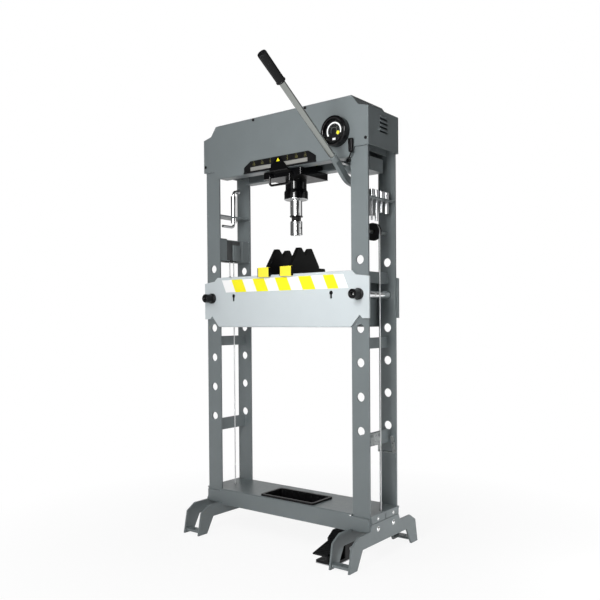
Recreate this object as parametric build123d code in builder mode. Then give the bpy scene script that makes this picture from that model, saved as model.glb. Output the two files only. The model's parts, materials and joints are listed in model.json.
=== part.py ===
"""A free-standing workshop press with a sliding cylinder and a pinned, roped table.

Millimetres, +Z up. The origin lies on the floor, midway between the four posts.
The operator stands on the -Y side.
"""

import os
from math import cos, radians, sin

from build123d import *

os.makedirs("parts", exist_ok=True)

# Sheet and fits
sheet = 8.0
cover_sheet = 3.0
bend = 6.0
running = 0.05
seat = 0.3
overrun = 15.0
near = 0.05

# Columns
column_inset = 48.0
post_width = 80.0
frame_depth = 212.0
hole_pitch = 135.0
hole_count = 6
lowest_hole_z = 512.0
pin_hole = 36.0
holes_below_table_count = 4
post_foot_z = 114.0

# Head
head_top_z = 1832.0
head_inset = 78.0
head_neck_inset = 47.0
head_neck_drop = 41.0
end_half = 449.0
head_wing_top_drop = 53.0
head_wing_low_drop = 202.0
head_low_drop = 239.0
head_low_inset = 92.0
wing_step_inset = 65.0
rail_depth = 44.0
louvre_count = 4
louvre_pitch = 17.0
louvre_width = 62.0
louvre_height = 8.0
louvre_drop = 110.0

# Table
table_top_z = 1146.0
table_low_z = 921.0
table_inset = 80.0
table_neck_inset = 63.0
table_neck_drop = 17.0
table_wing_top_z = 1121.0
table_wing_low_z = 957.0
table_notch_inset = 45.0
table_notch_rise = 14.0
table_low_inset = 89.0
table_play = 1.0
table_flange = 46.0
table_plate_gap = 10.0
keyhole_x = 268.0
keyhole_z = 1060.0
keyhole = 9.0
keyhole_slot = 5.0
keyhole_rise = 13.0

# Table pins
pin = 34.0
pin_collar = 46.0
pin_collar_length = 8.0
pin_knob = 38.0
pin_knob_length = 42.0
pin_tail = 10.0
pin_point = 3.0
pin_groove = 3.0
pin_hollow = 20.0
pin_hollow_deep = 16.0

# Base and feet
base_top_z = 182.0
base_low_z = 112.0
base_wing_top_z = 172.0
base_wing_low_z = 121.0
foot_reach = 261.0
foot_toe = 53.0
foot_arch_y = 169.0
foot_arch_z = 70.0
foot_knee_y = 242.0
foot_knee_z = 96.0
foot_brow_y = 196.0
foot_brow_z = 124.0
foot_step_y = 113.0
foot_top_y = 102.0
foot_top_z = 150.0
foot_bolt_y = 58.0
end_screw_drop = 16.0
tab_gap = 2.0
tab_slit = 5.0
bolt_head = 16.0
bar_centre_y = 235.0
bar_width = 36.0
bar_low_z = 10.0
bar_thick = 10.0
anchor_hole = 14.0

# Tool tray in the base
tray_x = 15.0
tray_y = -30.0
tray_length = 290.0
tray_depth = 146.0
tray_deep = 40.0
tray_rim = 9.0
tray_wall = 2.5
tray_lip = 8.0
tray_corner = 12.0

# Column stays, from the top down
top_stay_drop = 177.0
low_stay_zs = (1121.0, 857.0, 470.0)
stay_heights = (60.0, 46.0, 44.0, 54.0)

# Scale plate
scale_half = 197.0
scale_low_drop = 237.0
scale_high_drop = 186.0
scale_chamfer = 38.0
scale_chamfer_drop = 24.0
scale_thick = 3.0

# Pressure gauge
gauge_inset = 58.0
gauge_drop = 134.0
gauge_outer = 120.0
gauge_ring = 9.0
gauge_deep = 30.0
dial_recess = 7.0
dial_thick = 1.5
lens_thick = 2.0
lens_recess = 1.0
hub = 9.0
hub_high = 2.2
needle_reach = 41.0
needle_tail = 14.0
needle_wide = 4.0
needle_thick = 0.8
needle_lift = 0.5
needle_deg = 225.0

# Carriage, cylinder and ram
carriage_x = 2.0
carriage_half = 72.0
carriage_deck = 24.0
block_round = 108.0
block_bar = 28.0
pan_half = 103.0
pan_gap = 3.0
carriage_low_drop = 270.0
cylinder_outer = 93.0
cylinder_bore = 72.0
cylinder_top_drop = 42.0
cylinder_cap = 22.0
gland_outer = 104.0
gland_low_drop = 357.0
gland_high_drop = 335.0
gland_plug = 18.0
ram = 53.0
ram_low_drop = 428.0
piston_low_drop = 127.0
piston_high_drop = 92.0
disc = 57.0
disc_thick = 4.0
neck = 34.0
neck_length = 17.0
nose = 53.0
nose_length = 65.0
nose_chamfer = 3.0
nose_socket = 20.0
bail_wire = 10.0
bail_half = 54.0
bail_y = -112.0
bail_high_drop = 256.0
bail_low_drop = 305.0
bail_bend = 12.0
pointer_half = 50.0
pointer_tip_half = 10.0
pointer_sheet = 4.0
pointer_gap = 1.0
pointer_low_drop = 248.0
pointer_brow_drop = 238.0
pointer_tip_drop = 192.0

# Pump and its lever
lever_inset = 26.0
lever_width = 16.0
lever_deep = 30.0
lever_pivot_y = -12.0
lever_pivot_drop = 332.0
lever_knee_y = -98.0
lever_knee_drop = 320.0
lever_neck_y = -172.0
lever_neck_drop = 262.0
lever_boss = 40.0
lever_pin = 14.0
socket_outer = 32.0
socket_length = 26.0
tube_outer = 24.0
tube_start = 12.0
tube_length = 505.0
grip_outer = 34.0
grip_length = 126.0
grip_over = 5.0
lever_tilt_deg = 33.8
pump_inset = 65.0
pump_half_y = 52.0
pump_low_drop = 286.0
pump_high_drop = 232.0
pump_past = 13.0
pump_plate_thick = 10.0
cheek_thick = 9.0
cheek_half = 24.0
cheek_low = 24.0
piston_rod = 12.0
piston_rod_drop = 261.0
piston_sleeve = 26.0
piston_sleeve_front = 14.0
piston_stroke_room = 70.0
piston_tip_gap = 4.0

# Release valve and its lever
valve_inset = 5.0
valve_drop = 254.0
valve_front_y = -113.0
valve_stem = 9.0
valve_hub = 15.0
valve_cap = 6.0
release_rod = 6.0
release_rod_length = 32.0
release_lean_deg = 36.0
release_forward_deg = 17.0
release_knob = 22.0
release_knob_length = 60.0
release_knob_thick = 13.0
knob_belly_share = 0.6

# V-blocks resting on the table
v_xs = (-80.0, 43.0)
v_thick = 20.0
v_high = 116.0
v_base_high = 40.0
v_base_wide = 60.0
v_base_half = 112.0
v_foot_half = 97.0
v_top_half = 44.0
v_notch_half = 29.5
v_groove = 6.0
cap_wide = 60.0
cap_deep = 15.0
cap_high = 41.0
cap_drop = 9.0
cap_corner = 4.0

# Winch, ropes and pulleys
rope = 5.0
rope_offset = 26.0
wrap = 31.0
pulley_flange = 7.0
pulley_wide = 16.0
pulley_axle = 14.0
pulley_z = 1305.0
base_pulley_z = 137.0
rope_hole = 16.0
winch_z = 1275.0
winch_half = 49.0
winch_inner = 38.0
winch_back = 32.0
cheek_front_y = -55.0
cheek_rear_y = 46.0
drum_wrap = 24.0
drum_flange = 29.0
winch_cover_recess = 1.5
winch_edge = 2.0
drum_flange_thick = 4.0
drum_shaft = 16.0
lift_y = -26.0
lug_half = 11.0
lug_high = 22.0
lug_z = 1112.0
lug_past = 6.0

# Tool holders on the columns
holder_z = 1430.0
holder_thick = 6.0
punch_row_shares = (0.20, -0.22)
punch_y_shares = (-0.42, -0.08, 0.30, 0.70)
punch_lengths = ((84.0, 84.0, 46.0, 48.0), (84.0, 60.0, 56.0, 40.0))
punch_sizes = ((9.0, 13.0, 12.0, 20.0), (11.0, 15.0, 17.0, 10.0))
punch_head = 24.0
punch_head_high = 33.0
crank_inset = 25.0
crank_y = 4.0
crank_rod = 12.0
crank_sleeve = 26.0
crank_low_z = 1387.0
crank_high_z = 1556.0
crank_arm = 74.0
crank_top_arm = 24.0
crank_bend = 16.0
crank_tip = 20.0
crank_tip_length = 13.0
sleeve_low_z = 1406.0
sleeve_high_z = 1532.0

# Hook bracket on the right column's lowest stay
hook_sheet = 3.0
hook_front_y = -44.0
hook_rear_y = 36.0
hook_wide = 22.0
hook_plate_low_z = 446.0
hook_plate_high_z = 494.0
hook_arm_z = 416.0
hook_out = 74.0
hook_up = 66.0
hook_lean = 16.0
hook_hole = 7.0
hook_hole_inset = 12.0

# Foot pedal
pedal_wide = 86.0
pedal_front_y = -226.0
pedal_rear_y = -62.0
pedal_sole = 14.0
pedal_high = 104.0
pedal_crown_y = -112.0
pedal_brow_y = -148.0
pedal_brow_z = 80.0
pedal_wall = 9.0
pedal_axle = 8.0
pedal_axle_y = -112.0
pedal_axle_z = 44.0
treadle_nose_y = -262.0
treadle_nose_z = 46.0
treadle_thick = 15.0
treadle_gap = 2.0
treadle_brow_drop = 3.0
treadle_back_drop = 10.0
treadle_tip = 5.0

# Places that follow from the sizes above
head_half = end_half - head_inset
head_neck_half = end_half - head_neck_inset
head_low_half = end_half - head_low_inset
wing_step_half = end_half - wing_step_inset
table_half = end_half - table_inset
table_neck_half = end_half - table_neck_inset
table_notch_half = end_half - table_notch_inset
table_low_half = end_half - table_low_inset
head_wing_top_z = head_top_z - head_wing_top_drop
head_wing_low_z = head_top_z - head_wing_low_drop
head_low_z = head_top_z - head_low_drop
louvre_z = head_top_z - louvre_drop
scale_low_z = head_top_z - scale_low_drop
scale_high_z = head_top_z - scale_high_drop
gauge_z = head_top_z - gauge_drop
carriage_low_z = head_top_z - carriage_low_drop
cylinder_top_z = head_top_z - cylinder_top_drop
gland_low_z = head_top_z - gland_low_drop
gland_high_z = head_top_z - gland_high_drop
ram_low_z = head_top_z - ram_low_drop
piston_low_z = head_top_z - piston_low_drop
piston_high_z = head_top_z - piston_high_drop
bail_high_z = head_top_z - bail_high_drop
bail_low_z = head_top_z - bail_low_drop
lever_pivot_z = head_top_z - lever_pivot_drop
lever_knee_z = head_top_z - lever_knee_drop
lever_neck_z = head_top_z - lever_neck_drop
pump_low_z = head_top_z - pump_low_drop
pump_high_z = head_top_z - pump_high_drop
piston_rod_z = head_top_z - piston_rod_drop
valve_z = head_top_z - valve_drop
column_x = end_half - column_inset
column_spacing = 2 * column_x
inner_x = column_x - post_width / 2
outer_x = column_x + post_width / 2
gauge_x = inner_x - gauge_inset
lever_x = inner_x - lever_inset
pump_x = inner_x - pump_inset
pump_reach = column_x + pump_past
valve_x = inner_x - valve_inset
rope_left_x = -column_x + rope_offset
rope_right_x = column_x + rope_offset
winch_inner_x = -column_x + winch_inner
winch_back_x = -column_x - winch_back
crank_x = -column_x + crank_inset
post_out_y = frame_depth / 2
post_in_y = post_out_y - sheet
plate_y = post_out_y + sheet
table_in_y = post_out_y + table_play
table_out_y = table_in_y + sheet
stay_zs = (head_top_z - top_stay_drop, *low_stay_zs)
pin_z = lowest_hole_z + holes_below_table_count * hole_pitch
post_top_z = head_wing_top_z - 2 * sheet
base_under_z = base_top_z - sheet
foot_inner_x = inner_x - sheet
sides = ((-1, "left"), (1, "right"))


# Head plates: each is a winged plate with a rail folded inwards along its lower edge.
for turn, place in ((1, "front"), (-1, "rear")):
    start = post_out_y if turn == 1 else -plate_y
    with BuildPart() as head_plate:
        with BuildSketch(Plane.XZ.offset(start)):
            with BuildLine():
                Polyline(
                    (0, head_top_z),
                    (head_half, head_top_z),
                    (head_neck_half, head_top_z - head_neck_drop),
                    (end_half, head_wing_top_z),
                    (end_half, head_wing_low_z),
                    (wing_step_half, head_wing_low_z),
                    (head_low_half, head_low_z),
                    (0, head_low_z),
                )
                mirror(about=Plane.YZ)
            make_face()
        extrude(amount=sheet)
        with BuildSketch(Plane.XY.offset(head_low_z)):
            with Locations((0, -turn * (post_out_y - rail_depth / 2))):
                Rectangle(2 * inner_x - 2 * sheet, rail_depth)
        extrude(amount=sheet)
        low = head_plate.edges().filter_by(Axis.X).group_by(Axis.Z)[0].sort_by(Axis.Y)
        fillet(low[0] if turn == 1 else low[-1], radius=bend)
    head_plate.part.label = f"head_{place}_plate"
    export_step(head_plate.part, f"parts/head_{place}_plate.step")

# Head cover: one folded sheet over the top, down both shoulders and the ends.
with BuildPart() as head_cover:
    with BuildSketch(Plane.XZ.offset(-post_out_y)):
        with BuildLine():
            cover_line = Polyline(
                (-end_half, head_wing_low_z),
                (-end_half, head_wing_top_z),
                (-head_neck_half, head_top_z - head_neck_drop),
                (-head_half, head_top_z),
                (head_half, head_top_z),
                (head_neck_half, head_top_z - head_neck_drop),
                (end_half, head_wing_top_z),
                (end_half, head_wing_low_z),
            )
            offset(cover_line, amount=cover_sheet, side=Side.RIGHT)
        make_face()
    extrude(amount=2 * post_out_y)
    for side, _ in sides:
        with BuildSketch(Plane((side * end_half, 0, louvre_z), x_dir=(0, 1, 0), z_dir=(1, 0, 0))):
            with GridLocations(0, louvre_pitch, 1, louvre_count):
                SlotOverall(louvre_width, louvre_height)
        extrude(amount=cover_sheet * 2, both=True, mode=Mode.SUBTRACT)
head_cover.part.label = "head_cover"
export_step(head_cover.part, "parts/head_cover.step")

# Posts: flat steel with a row of pin holes.
for side, hand in sides:
    for turn, place in ((-1, "front"), (1, "rear")):
        with BuildPart() as post:
            with BuildSketch(Plane.XZ.offset(-turn * post_in_y)):
                with BuildLine():
                    post_box = Polyline(
                        (side * inner_x, post_foot_z),
                        (side * outer_x, post_foot_z),
                        (side * outer_x, post_top_z),
                        (side * inner_x, post_top_z),
                        close=True,
                    )
                make_face()
                with Locations((side * column_x, lowest_hole_z + (hole_count - 1) * hole_pitch / 2)):
                    with GridLocations(0, hole_pitch, 1, hole_count):
                        Circle(pin_hole / 2, mode=Mode.SUBTRACT)
            extrude(amount=-turn * sheet)
        post.part.label = f"post_{place}_{hand}"
        export_step(post.part, f"parts/post_{place}_{hand}.step")

# Stays: webs between the front and rear post of each column.
with BuildPart() as column_stays:
    for side, _ in sides:
        for stay_z, stay_high in zip(stay_zs, stay_heights):
            with BuildSketch(Plane((side * column_x, 0, stay_z), x_dir=(0, 1, 0), z_dir=(1, 0, 0))):
                Rectangle(2 * post_in_y, stay_high)
            extrude(amount=sheet / 2, both=True)
column_stays.part.label = "column_stays"
export_step(column_stays.part, "parts/column_stays.step")

# Base: a folded tray with winged front and rear faces and tabbed ends.
with BuildPart() as base:
    for turn in (-1, 1):
        with BuildSketch(Plane.XZ.offset(-turn * post_out_y)):
            with BuildLine():
                Polyline(
                    (0, base_top_z),
                    (inner_x, base_top_z),
                    (inner_x, base_wing_top_z),
                    (outer_x, base_wing_top_z),
                    (outer_x, base_wing_low_z),
                    (inner_x, base_wing_low_z),
                    (head_low_half, base_low_z),
                    (0, base_low_z),
                )
                mirror(about=Plane.YZ)
            make_face()
        extrude(amount=-turn * sheet)
    with BuildSketch(Plane.XY.offset(base_under_z)):
        Rectangle(2 * end_half, 2 * post_out_y)
        with GridLocations(column_spacing, 2 * (post_in_y + sheet / 2), 2, 2):
            Rectangle(post_width + 2 * seat, sheet + 2 * seat, mode=Mode.SUBTRACT)
        with Locations((tray_x, tray_y)):
            RectangleRounded(
                tray_length - 2 * tray_rim, tray_depth - 2 * tray_rim, tray_corner, mode=Mode.SUBTRACT
            )
        with Locations((rope_left_x, 0), (rope_right_x, 0)):
            Circle(rope_hole / 2, mode=Mode.SUBTRACT)
    extrude(amount=sheet)
    for side, _ in sides:
        with BuildSketch(Plane((side * end_half, 0, 0), x_dir=(0, -side, 0), z_dir=(-side, 0, 0))):
            with Locations((0, (foot_top_z + tab_gap + base_top_z) / 2)):
                Rectangle(2 * foot_top_y, base_top_z - foot_top_z - tab_gap)
                Rectangle(tab_slit, base_top_z - foot_top_z, mode=Mode.SUBTRACT)
            with Locations((0, base_top_z - end_screw_drop)):
                with GridLocations(2 * foot_bolt_y, 0, 2, 1):
                    Circle(bolt_head / 4, mode=Mode.SUBTRACT)
        extrude(amount=sheet)
    rims = base.edges().filter_by(Axis.X).group_by(Axis.Z)[-1].sort_by(Axis.Y)
    fillet([rims[0], rims[-1]], radius=bend)
base.part.label = "base"
export_step(base.part, "parts/base.step")

# Tool tray: a pressed tray whose rim rests on the base.
with BuildPart() as tool_tray:
    with BuildSketch(Plane.XY.offset(base_top_z)):
        with Locations((tray_x, tray_y)):
            RectangleRounded(tray_length, tray_depth, tray_corner)
    extrude(amount=tray_lip)
    chamfer(tool_tray.edges().group_by(Axis.Z)[-1], length=tray_wall / 2)
    with BuildSketch(Plane.XY.offset(base_top_z)):
        with Locations((tray_x, tray_y)):
            RectangleRounded(
                tray_length - 2 * tray_rim - 2 * seat, tray_depth - 2 * tray_rim - 2 * seat, tray_corner
            )
    extrude(amount=-tray_deep)
    with BuildSketch(Plane.XY.offset(base_top_z + tray_lip)):
        with Locations((tray_x, tray_y)):
            RectangleRounded(
                tray_length - 2 * (tray_rim + tray_wall + seat),
                tray_depth - 2 * (tray_rim + tray_wall + seat),
                tray_corner - tray_wall,
            )
    extrude(amount=-tray_deep - tray_lip + tray_wall, mode=Mode.SUBTRACT)
tool_tray.part.label = "tool_tray"
export_step(tool_tray.part, "parts/tool_tray.step")

# Feet: two bridge-shaped plates under each column.
for side, hand in sides:
    for place, face_x in (("outer", outer_x), ("inner", foot_inner_x)):
        with BuildPart() as foot:
            with BuildSketch(
                Plane((side * (face_x + sheet / 2), 0, 0), x_dir=(0, 1, 0), z_dir=(1, 0, 0))
            ):
                with BuildLine():
                    Polyline(
                        (0, foot_top_z),
                        (foot_top_y, foot_top_z),
                        (foot_step_y, foot_brow_z),
                        (foot_brow_y, foot_brow_z),
                        (foot_knee_y, foot_knee_z),
                        (foot_reach, 0),
                        (foot_reach - foot_toe, 0),
                        (foot_arch_y, foot_arch_z),
                        (0, foot_arch_z),
                    )
                    mirror(about=Plane.YZ)
                make_face()
                if place == "inner":
                    with Locations((0, foot_top_z)):
                        notch_deep = foot_top_z - base_pulley_z + wrap + 2 * rope
                        Rectangle(pulley_wide + 2 * rope, 2 * notch_deep, mode=Mode.SUBTRACT)
                    with Locations((0, foot_top_z)):
                        with GridLocations(2 * post_out_y + sheet, 0, 2, 1):
                            Rectangle(
                                sheet + 2 * seat, 2 * (foot_top_z - base_low_z + seat), mode=Mode.SUBTRACT
                            )
            extrude(amount=sheet / 2, both=True)
        foot.part.label = f"foot_{hand}_{place}"
        export_step(foot.part, f"parts/foot_{hand}_{place}.step")

# Cross bars low between the foot plates, with the anchor holes.
with BuildPart() as foot_bars:
    with BuildSketch(Plane.XY.offset(bar_low_z)):
        with GridLocations(column_spacing, 2 * bar_centre_y, 2, 2):
            Rectangle(post_width, bar_width)
            Circle(anchor_hole / 2, mode=Mode.SUBTRACT)
    extrude(amount=bar_thick)
foot_bars.part.label = "foot_bars"
export_step(foot_bars.part, "parts/foot_bars.step")

# Table beams: winged plates with flanges folded inwards along the top and the bottom.
for turn, place in ((1, "front"), (-1, "rear")):
    start = table_in_y if turn == 1 else -table_out_y
    with BuildPart() as beam:
        with BuildSketch(Plane.XZ.offset(start)):
            with BuildLine():
                Polyline(
                    (0, table_top_z),
                    (table_half, table_top_z),
                    (table_neck_half, table_top_z - table_neck_drop),
                    (end_half, table_wing_top_z),
                    (end_half, table_wing_low_z),
                    (table_notch_half + table_notch_rise, table_wing_low_z),
                    (table_notch_half, table_wing_low_z + table_notch_rise),
                    (table_low_half, table_low_z),
                    (0, table_low_z),
                )
                mirror(about=Plane.YZ)
            make_face()
            with Locations((-column_x, pin_z), (column_x, pin_z)):
                Circle(pin_hole / 2, mode=Mode.SUBTRACT)
            with Locations((-keyhole_x, keyhole_z), (keyhole_x, keyhole_z)):
                Circle(keyhole, mode=Mode.SUBTRACT)
            with Locations((-keyhole_x, keyhole_z - keyhole_rise), (keyhole_x, keyhole_z - keyhole_rise)):
                SlotCenterToCenter(keyhole_rise, 2 * keyhole_slot, rotation=90, mode=Mode.SUBTRACT)
        extrude(amount=sheet)
        for flange_z in (table_low_z, table_top_z - sheet):
            with BuildSketch(Plane.XY.offset(flange_z)):
                with Locations((0, -turn * (table_in_y - table_flange / 2))):
                    Rectangle(2 * (inner_x - table_plate_gap), table_flange)
            extrude(amount=sheet)
        tops = beam.edges().filter_by(Axis.X).group_by(Axis.Z)[-1].sort_by(Axis.Y)
        lows = beam.edges().filter_by(Axis.X).group_by(Axis.Z)[0].sort_by(Axis.Y)
        pick = 0 if turn == 1 else -1
        fillet([tops[pick], lows[pick]], radius=bend)
    beam.part.label = f"table_{place}_beam"
    export_step(beam.part, f"parts/table_{place}_beam.step")

# End plates that tie the two beams together, each with a lug for its lifting rope.
plate_x = inner_x - table_plate_gap - sheet
for side, hand in sides:
    rope_x = rope_left_x if side == -1 else rope_right_x - 2 * wrap
    rope_y = lift_y if side == -1 else 0
    with BuildPart() as end_plate:
        with BuildSketch(Plane((side * plate_x, 0, 0), x_dir=(0, side, 0), z_dir=(side, 0, 0))):
            with Locations((0, (table_top_z + table_low_z) / 2)):
                Rectangle(2 * table_in_y, table_top_z - table_low_z - 2 * sheet)
        extrude(amount=sheet)
        with BuildSketch(Plane.XY.offset(lug_z)):
            with BuildLine():
                Polyline(
                    (side * plate_x, rope_y - lug_half),
                    (rope_x + side * lug_past, rope_y - lug_half),
                    (rope_x + side * lug_past, rope_y + lug_half),
                    (side * plate_x, rope_y + lug_half),
                    close=True,
                )
            make_face()
        extrude(amount=lug_high / 2, both=True)
    end_plate.part.label = f"table_end_{hand}"
    export_step(end_plate.part, f"parts/table_end_{hand}.step")

# Table pins: a bright shaft with a pointed tail and a flanged grip.
for side, hand in sides:
    with BuildPart() as pin_shaft:
        with BuildSketch(Plane((side * column_x, -table_out_y, pin_z), z_dir=(0, 1, 0))):
            Circle(pin / 2)
        extrude(amount=2 * table_out_y + pin_tail)
        chamfer(pin_shaft.edges().group_by(Axis.Y)[-1], length=pin_point)
    pin_shaft.part.label = f"pin_shaft_{hand}"
    export_step(pin_shaft.part, f"parts/pin_shaft_{hand}.step")
    with BuildPart() as pin_grip:
        with BuildSketch(Plane((side * column_x, -table_out_y, pin_z), x_dir=(1, 0, 0), z_dir=(0, 0, 1))):
            with BuildLine():
                Polyline(
                    (0, 0),
                    (pin_collar / 2, 0),
                    (pin_collar / 2, -pin_collar_length),
                    (pin_knob / 2 - pin_groove, -pin_collar_length - pin_groove),
                    (pin_knob / 2, -pin_collar_length - 2 * pin_groove),
                    (pin_knob / 2, -pin_collar_length - pin_knob_length),
                    (pin_hollow / 2, -pin_collar_length - pin_knob_length),
                    (pin_hollow / 2, -pin_collar_length - pin_knob_length + pin_hollow_deep),
                    (0, -pin_collar_length - pin_knob_length + pin_hollow_deep),
                    close=True,
                )
            make_face()
        revolve(axis=Axis((side * column_x, 0, pin_z), (0, 1, 0)))
        chamfer(pin_grip.edges().group_by(Axis.Y)[0].sort_by(SortBy.LENGTH)[-1], length=pin_groove)
    pin_grip.part.label = f"pin_grip_{hand}"
    export_step(pin_grip.part, f"parts/pin_grip_{hand}.step")

# Scale plate on the head.
with BuildPart() as scale_plate:
    with BuildSketch(Plane.XZ.offset(plate_y)):
        with BuildLine():
            Polyline(
                (0, scale_low_z + bend),
                (scale_half, scale_low_z + bend),
                (scale_half, scale_high_z - scale_chamfer_drop),
                (scale_half - scale_chamfer, scale_high_z),
                (0, scale_high_z),
            )
            mirror(about=Plane.YZ)
        make_face()
    extrude(amount=scale_thick)
scale_plate.part.label = "scale_plate"
export_step(scale_plate.part, "parts/scale_plate.step")

# Gauge: a cup-shaped case with a rolled ring, a dial, a needle on its hub and a lens.
gauge_face = plate_y + gauge_deep
dial_face = gauge_face - dial_recess
glass_radius = gauge_outer / 2 - gauge_ring
with BuildPart() as gauge_case:
    with BuildSketch(Plane((gauge_x, 0, gauge_z), x_dir=(1, 0, 0), z_dir=(0, 0, 1))):
        with BuildLine():
            Polyline(
                (0, -plate_y),
                (gauge_outer / 2, -plate_y),
                (gauge_outer / 2, -gauge_face),
                (glass_radius, -gauge_face),
                (glass_radius, -dial_face + dial_thick),
                (0, -dial_face + dial_thick),
                close=True,
            )
        make_face()
    revolve(axis=Axis((gauge_x, 0, gauge_z), (0, 1, 0)))
    ring = gauge_case.edges().group_by(Axis.Y)[0].sort_by(SortBy.LENGTH)
    fillet(ring[-1], radius=gauge_ring / 2)
gauge_case.part.label = "gauge_case"
export_step(gauge_case.part, "parts/gauge_case.step")

with BuildPart() as gauge_dial:
    with BuildSketch(Plane.XZ.offset(dial_face - dial_thick)):
        with Locations((gauge_x, gauge_z)):
            Circle(glass_radius)
    extrude(amount=dial_thick)
    with BuildSketch(Plane.XZ.offset(dial_face)):
        with Locations((gauge_x, gauge_z)):
            Circle(hub / 4)
    extrude(amount=hub_high)
gauge_dial.part.label = "gauge_dial"
export_step(gauge_dial.part, "parts/gauge_dial.step")

with BuildPart() as gauge_needle:
    with BuildSketch(Plane.XZ.offset(dial_face + needle_lift)):
        with Locations((gauge_x, gauge_z)):
            Circle(hub / 2)
            with Locations(Location((0, 0), needle_deg)):
                with Locations(((needle_reach - needle_tail) / 2, 0)):
                    Trapezoid(needle_reach + needle_tail, needle_wide, 88)
            Circle(hub / 4 + running, mode=Mode.SUBTRACT)
    extrude(amount=needle_thick)
gauge_needle.part.label = "gauge_needle"
export_step(gauge_needle.part, "parts/gauge_needle.step")

with BuildPart() as gauge_lens:
    with BuildSketch(Plane.XZ.offset(gauge_face - lens_recess - lens_thick)):
        with Locations((gauge_x, gauge_z)):
            Circle(glass_radius)
    extrude(amount=lens_thick)
gauge_lens.part.label = "gauge_lens"
export_step(gauge_lens.part, "parts/gauge_lens.step")

# Carriage: a deck that runs on the two rails, with a block that hangs between them.
deck_low_z = head_low_z + sheet + seat
rail_gap = post_out_y - rail_depth
block_half_y = rail_gap - sheet / 2
pan_top_z = head_low_z - pan_gap
pan_half_y = post_in_y
with BuildPart() as carriage:
    with BuildSketch(Plane.XY.offset(deck_low_z)):
        with Locations((carriage_x, 0)):
            Rectangle(2 * carriage_half, 2 * (post_out_y - sheet))
    extrude(amount=carriage_deck)
    with BuildSketch(Plane.XY.offset(pan_top_z)):
        with Locations((carriage_x, 0)):
            Circle(block_round / 2)
        with Locations((carriage_x, block_bar / 2 - block_half_y)):
            RectangleRounded(2 * bail_half + 2 * bail_wire, block_bar, bend)
    extrude(amount=deck_low_z - pan_top_z)
    with Locations((carriage_x, 0, carriage_low_z)):
        Cylinder(cylinder_outer / 2, 2 * (carriage_deck + deck_low_z), mode=Mode.SUBTRACT)
carriage.part.label = "carriage"
export_step(carriage.part, "parts/carriage.step")

# Cylinder and its gland.
with BuildPart() as cylinder:
    with BuildSketch(Plane.XY.offset(gland_high_z)):
        with Locations((carriage_x, 0)):
            Circle(cylinder_outer / 2)
    extrude(amount=cylinder_top_z - gland_high_z)
    with BuildSketch(Plane.XY.offset(gland_high_z)):
        with Locations((carriage_x, 0)):
            Circle(cylinder_bore / 2)
    extrude(amount=cylinder_top_z - gland_high_z - cylinder_cap, mode=Mode.SUBTRACT)
    chamfer(cylinder.edges().group_by(Axis.Z)[-1], length=nose_chamfer)
cylinder.part.label = "cylinder"
export_step(cylinder.part, "parts/cylinder.step")

with BuildPart() as gland:
    with BuildSketch(Plane.XY.offset(gland_low_z)):
        with Locations((carriage_x, 0)):
            Circle(gland_outer / 2)
    extrude(amount=gland_high_z - gland_low_z)
    chamfer(gland.edges(), length=nose_chamfer / 2)
    with BuildSketch(Plane.XY.offset(gland_high_z)):
        with Locations((carriage_x, 0)):
            Circle(cylinder_bore / 2)
    extrude(amount=gland_plug)
    with Locations((carriage_x, 0, gland_high_z)):
        Cylinder(ram / 2 + running, 2 * (gland_plug + gland_high_z - gland_low_z), mode=Mode.SUBTRACT)
gland.part.label = "gland"
export_step(gland.part, "parts/gland.step")

# Ram: turned in one with its piston, its stop disc and the neck that holds the nose.
disc_low_z = ram_low_z - disc_thick
neck_low_z = disc_low_z - neck_length
nose_low_z = neck_low_z - nose_length
with BuildPart() as ram_rod:
    with BuildSketch(Plane.XY.offset(disc_low_z)):
        with Locations((carriage_x, 0)):
            Circle(disc / 2)
    extrude(amount=disc_thick)
    with BuildSketch(Plane.XY.offset(neck_low_z - nose_socket)):
        with Locations((carriage_x, 0)):
            Circle(neck / 2)
    extrude(amount=neck_length + nose_socket)
    with BuildSketch(Plane.XY.offset(ram_low_z)):
        with Locations((carriage_x, 0)):
            Circle(ram / 2)
    extrude(amount=piston_high_z - ram_low_z)
    with BuildSketch(Plane.XY.offset(piston_low_z)):
        with Locations((carriage_x, 0)):
            Circle(cylinder_bore / 2 - running)
    extrude(amount=piston_high_z - piston_low_z)
ram_rod.part.label = "ram"
export_step(ram_rod.part, "parts/ram.step")

with BuildPart() as ram_nose:
    with BuildSketch(Plane.XY.offset(nose_low_z)):
        with Locations((carriage_x, 0)):
            Circle(nose / 2)
    extrude(amount=nose_length)
    chamfer(ram_nose.edges().filter_by(GeomType.CIRCLE), length=nose_chamfer)
    with BuildSketch(Plane.XY.offset(neck_low_z)):
        with Locations((carriage_x, 0)):
            Circle(neck / 2)
    extrude(amount=-nose_socket, mode=Mode.SUBTRACT)
ram_nose.part.label = "ram_nose"
export_step(ram_nose.part, "parts/ram_nose.step")

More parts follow.
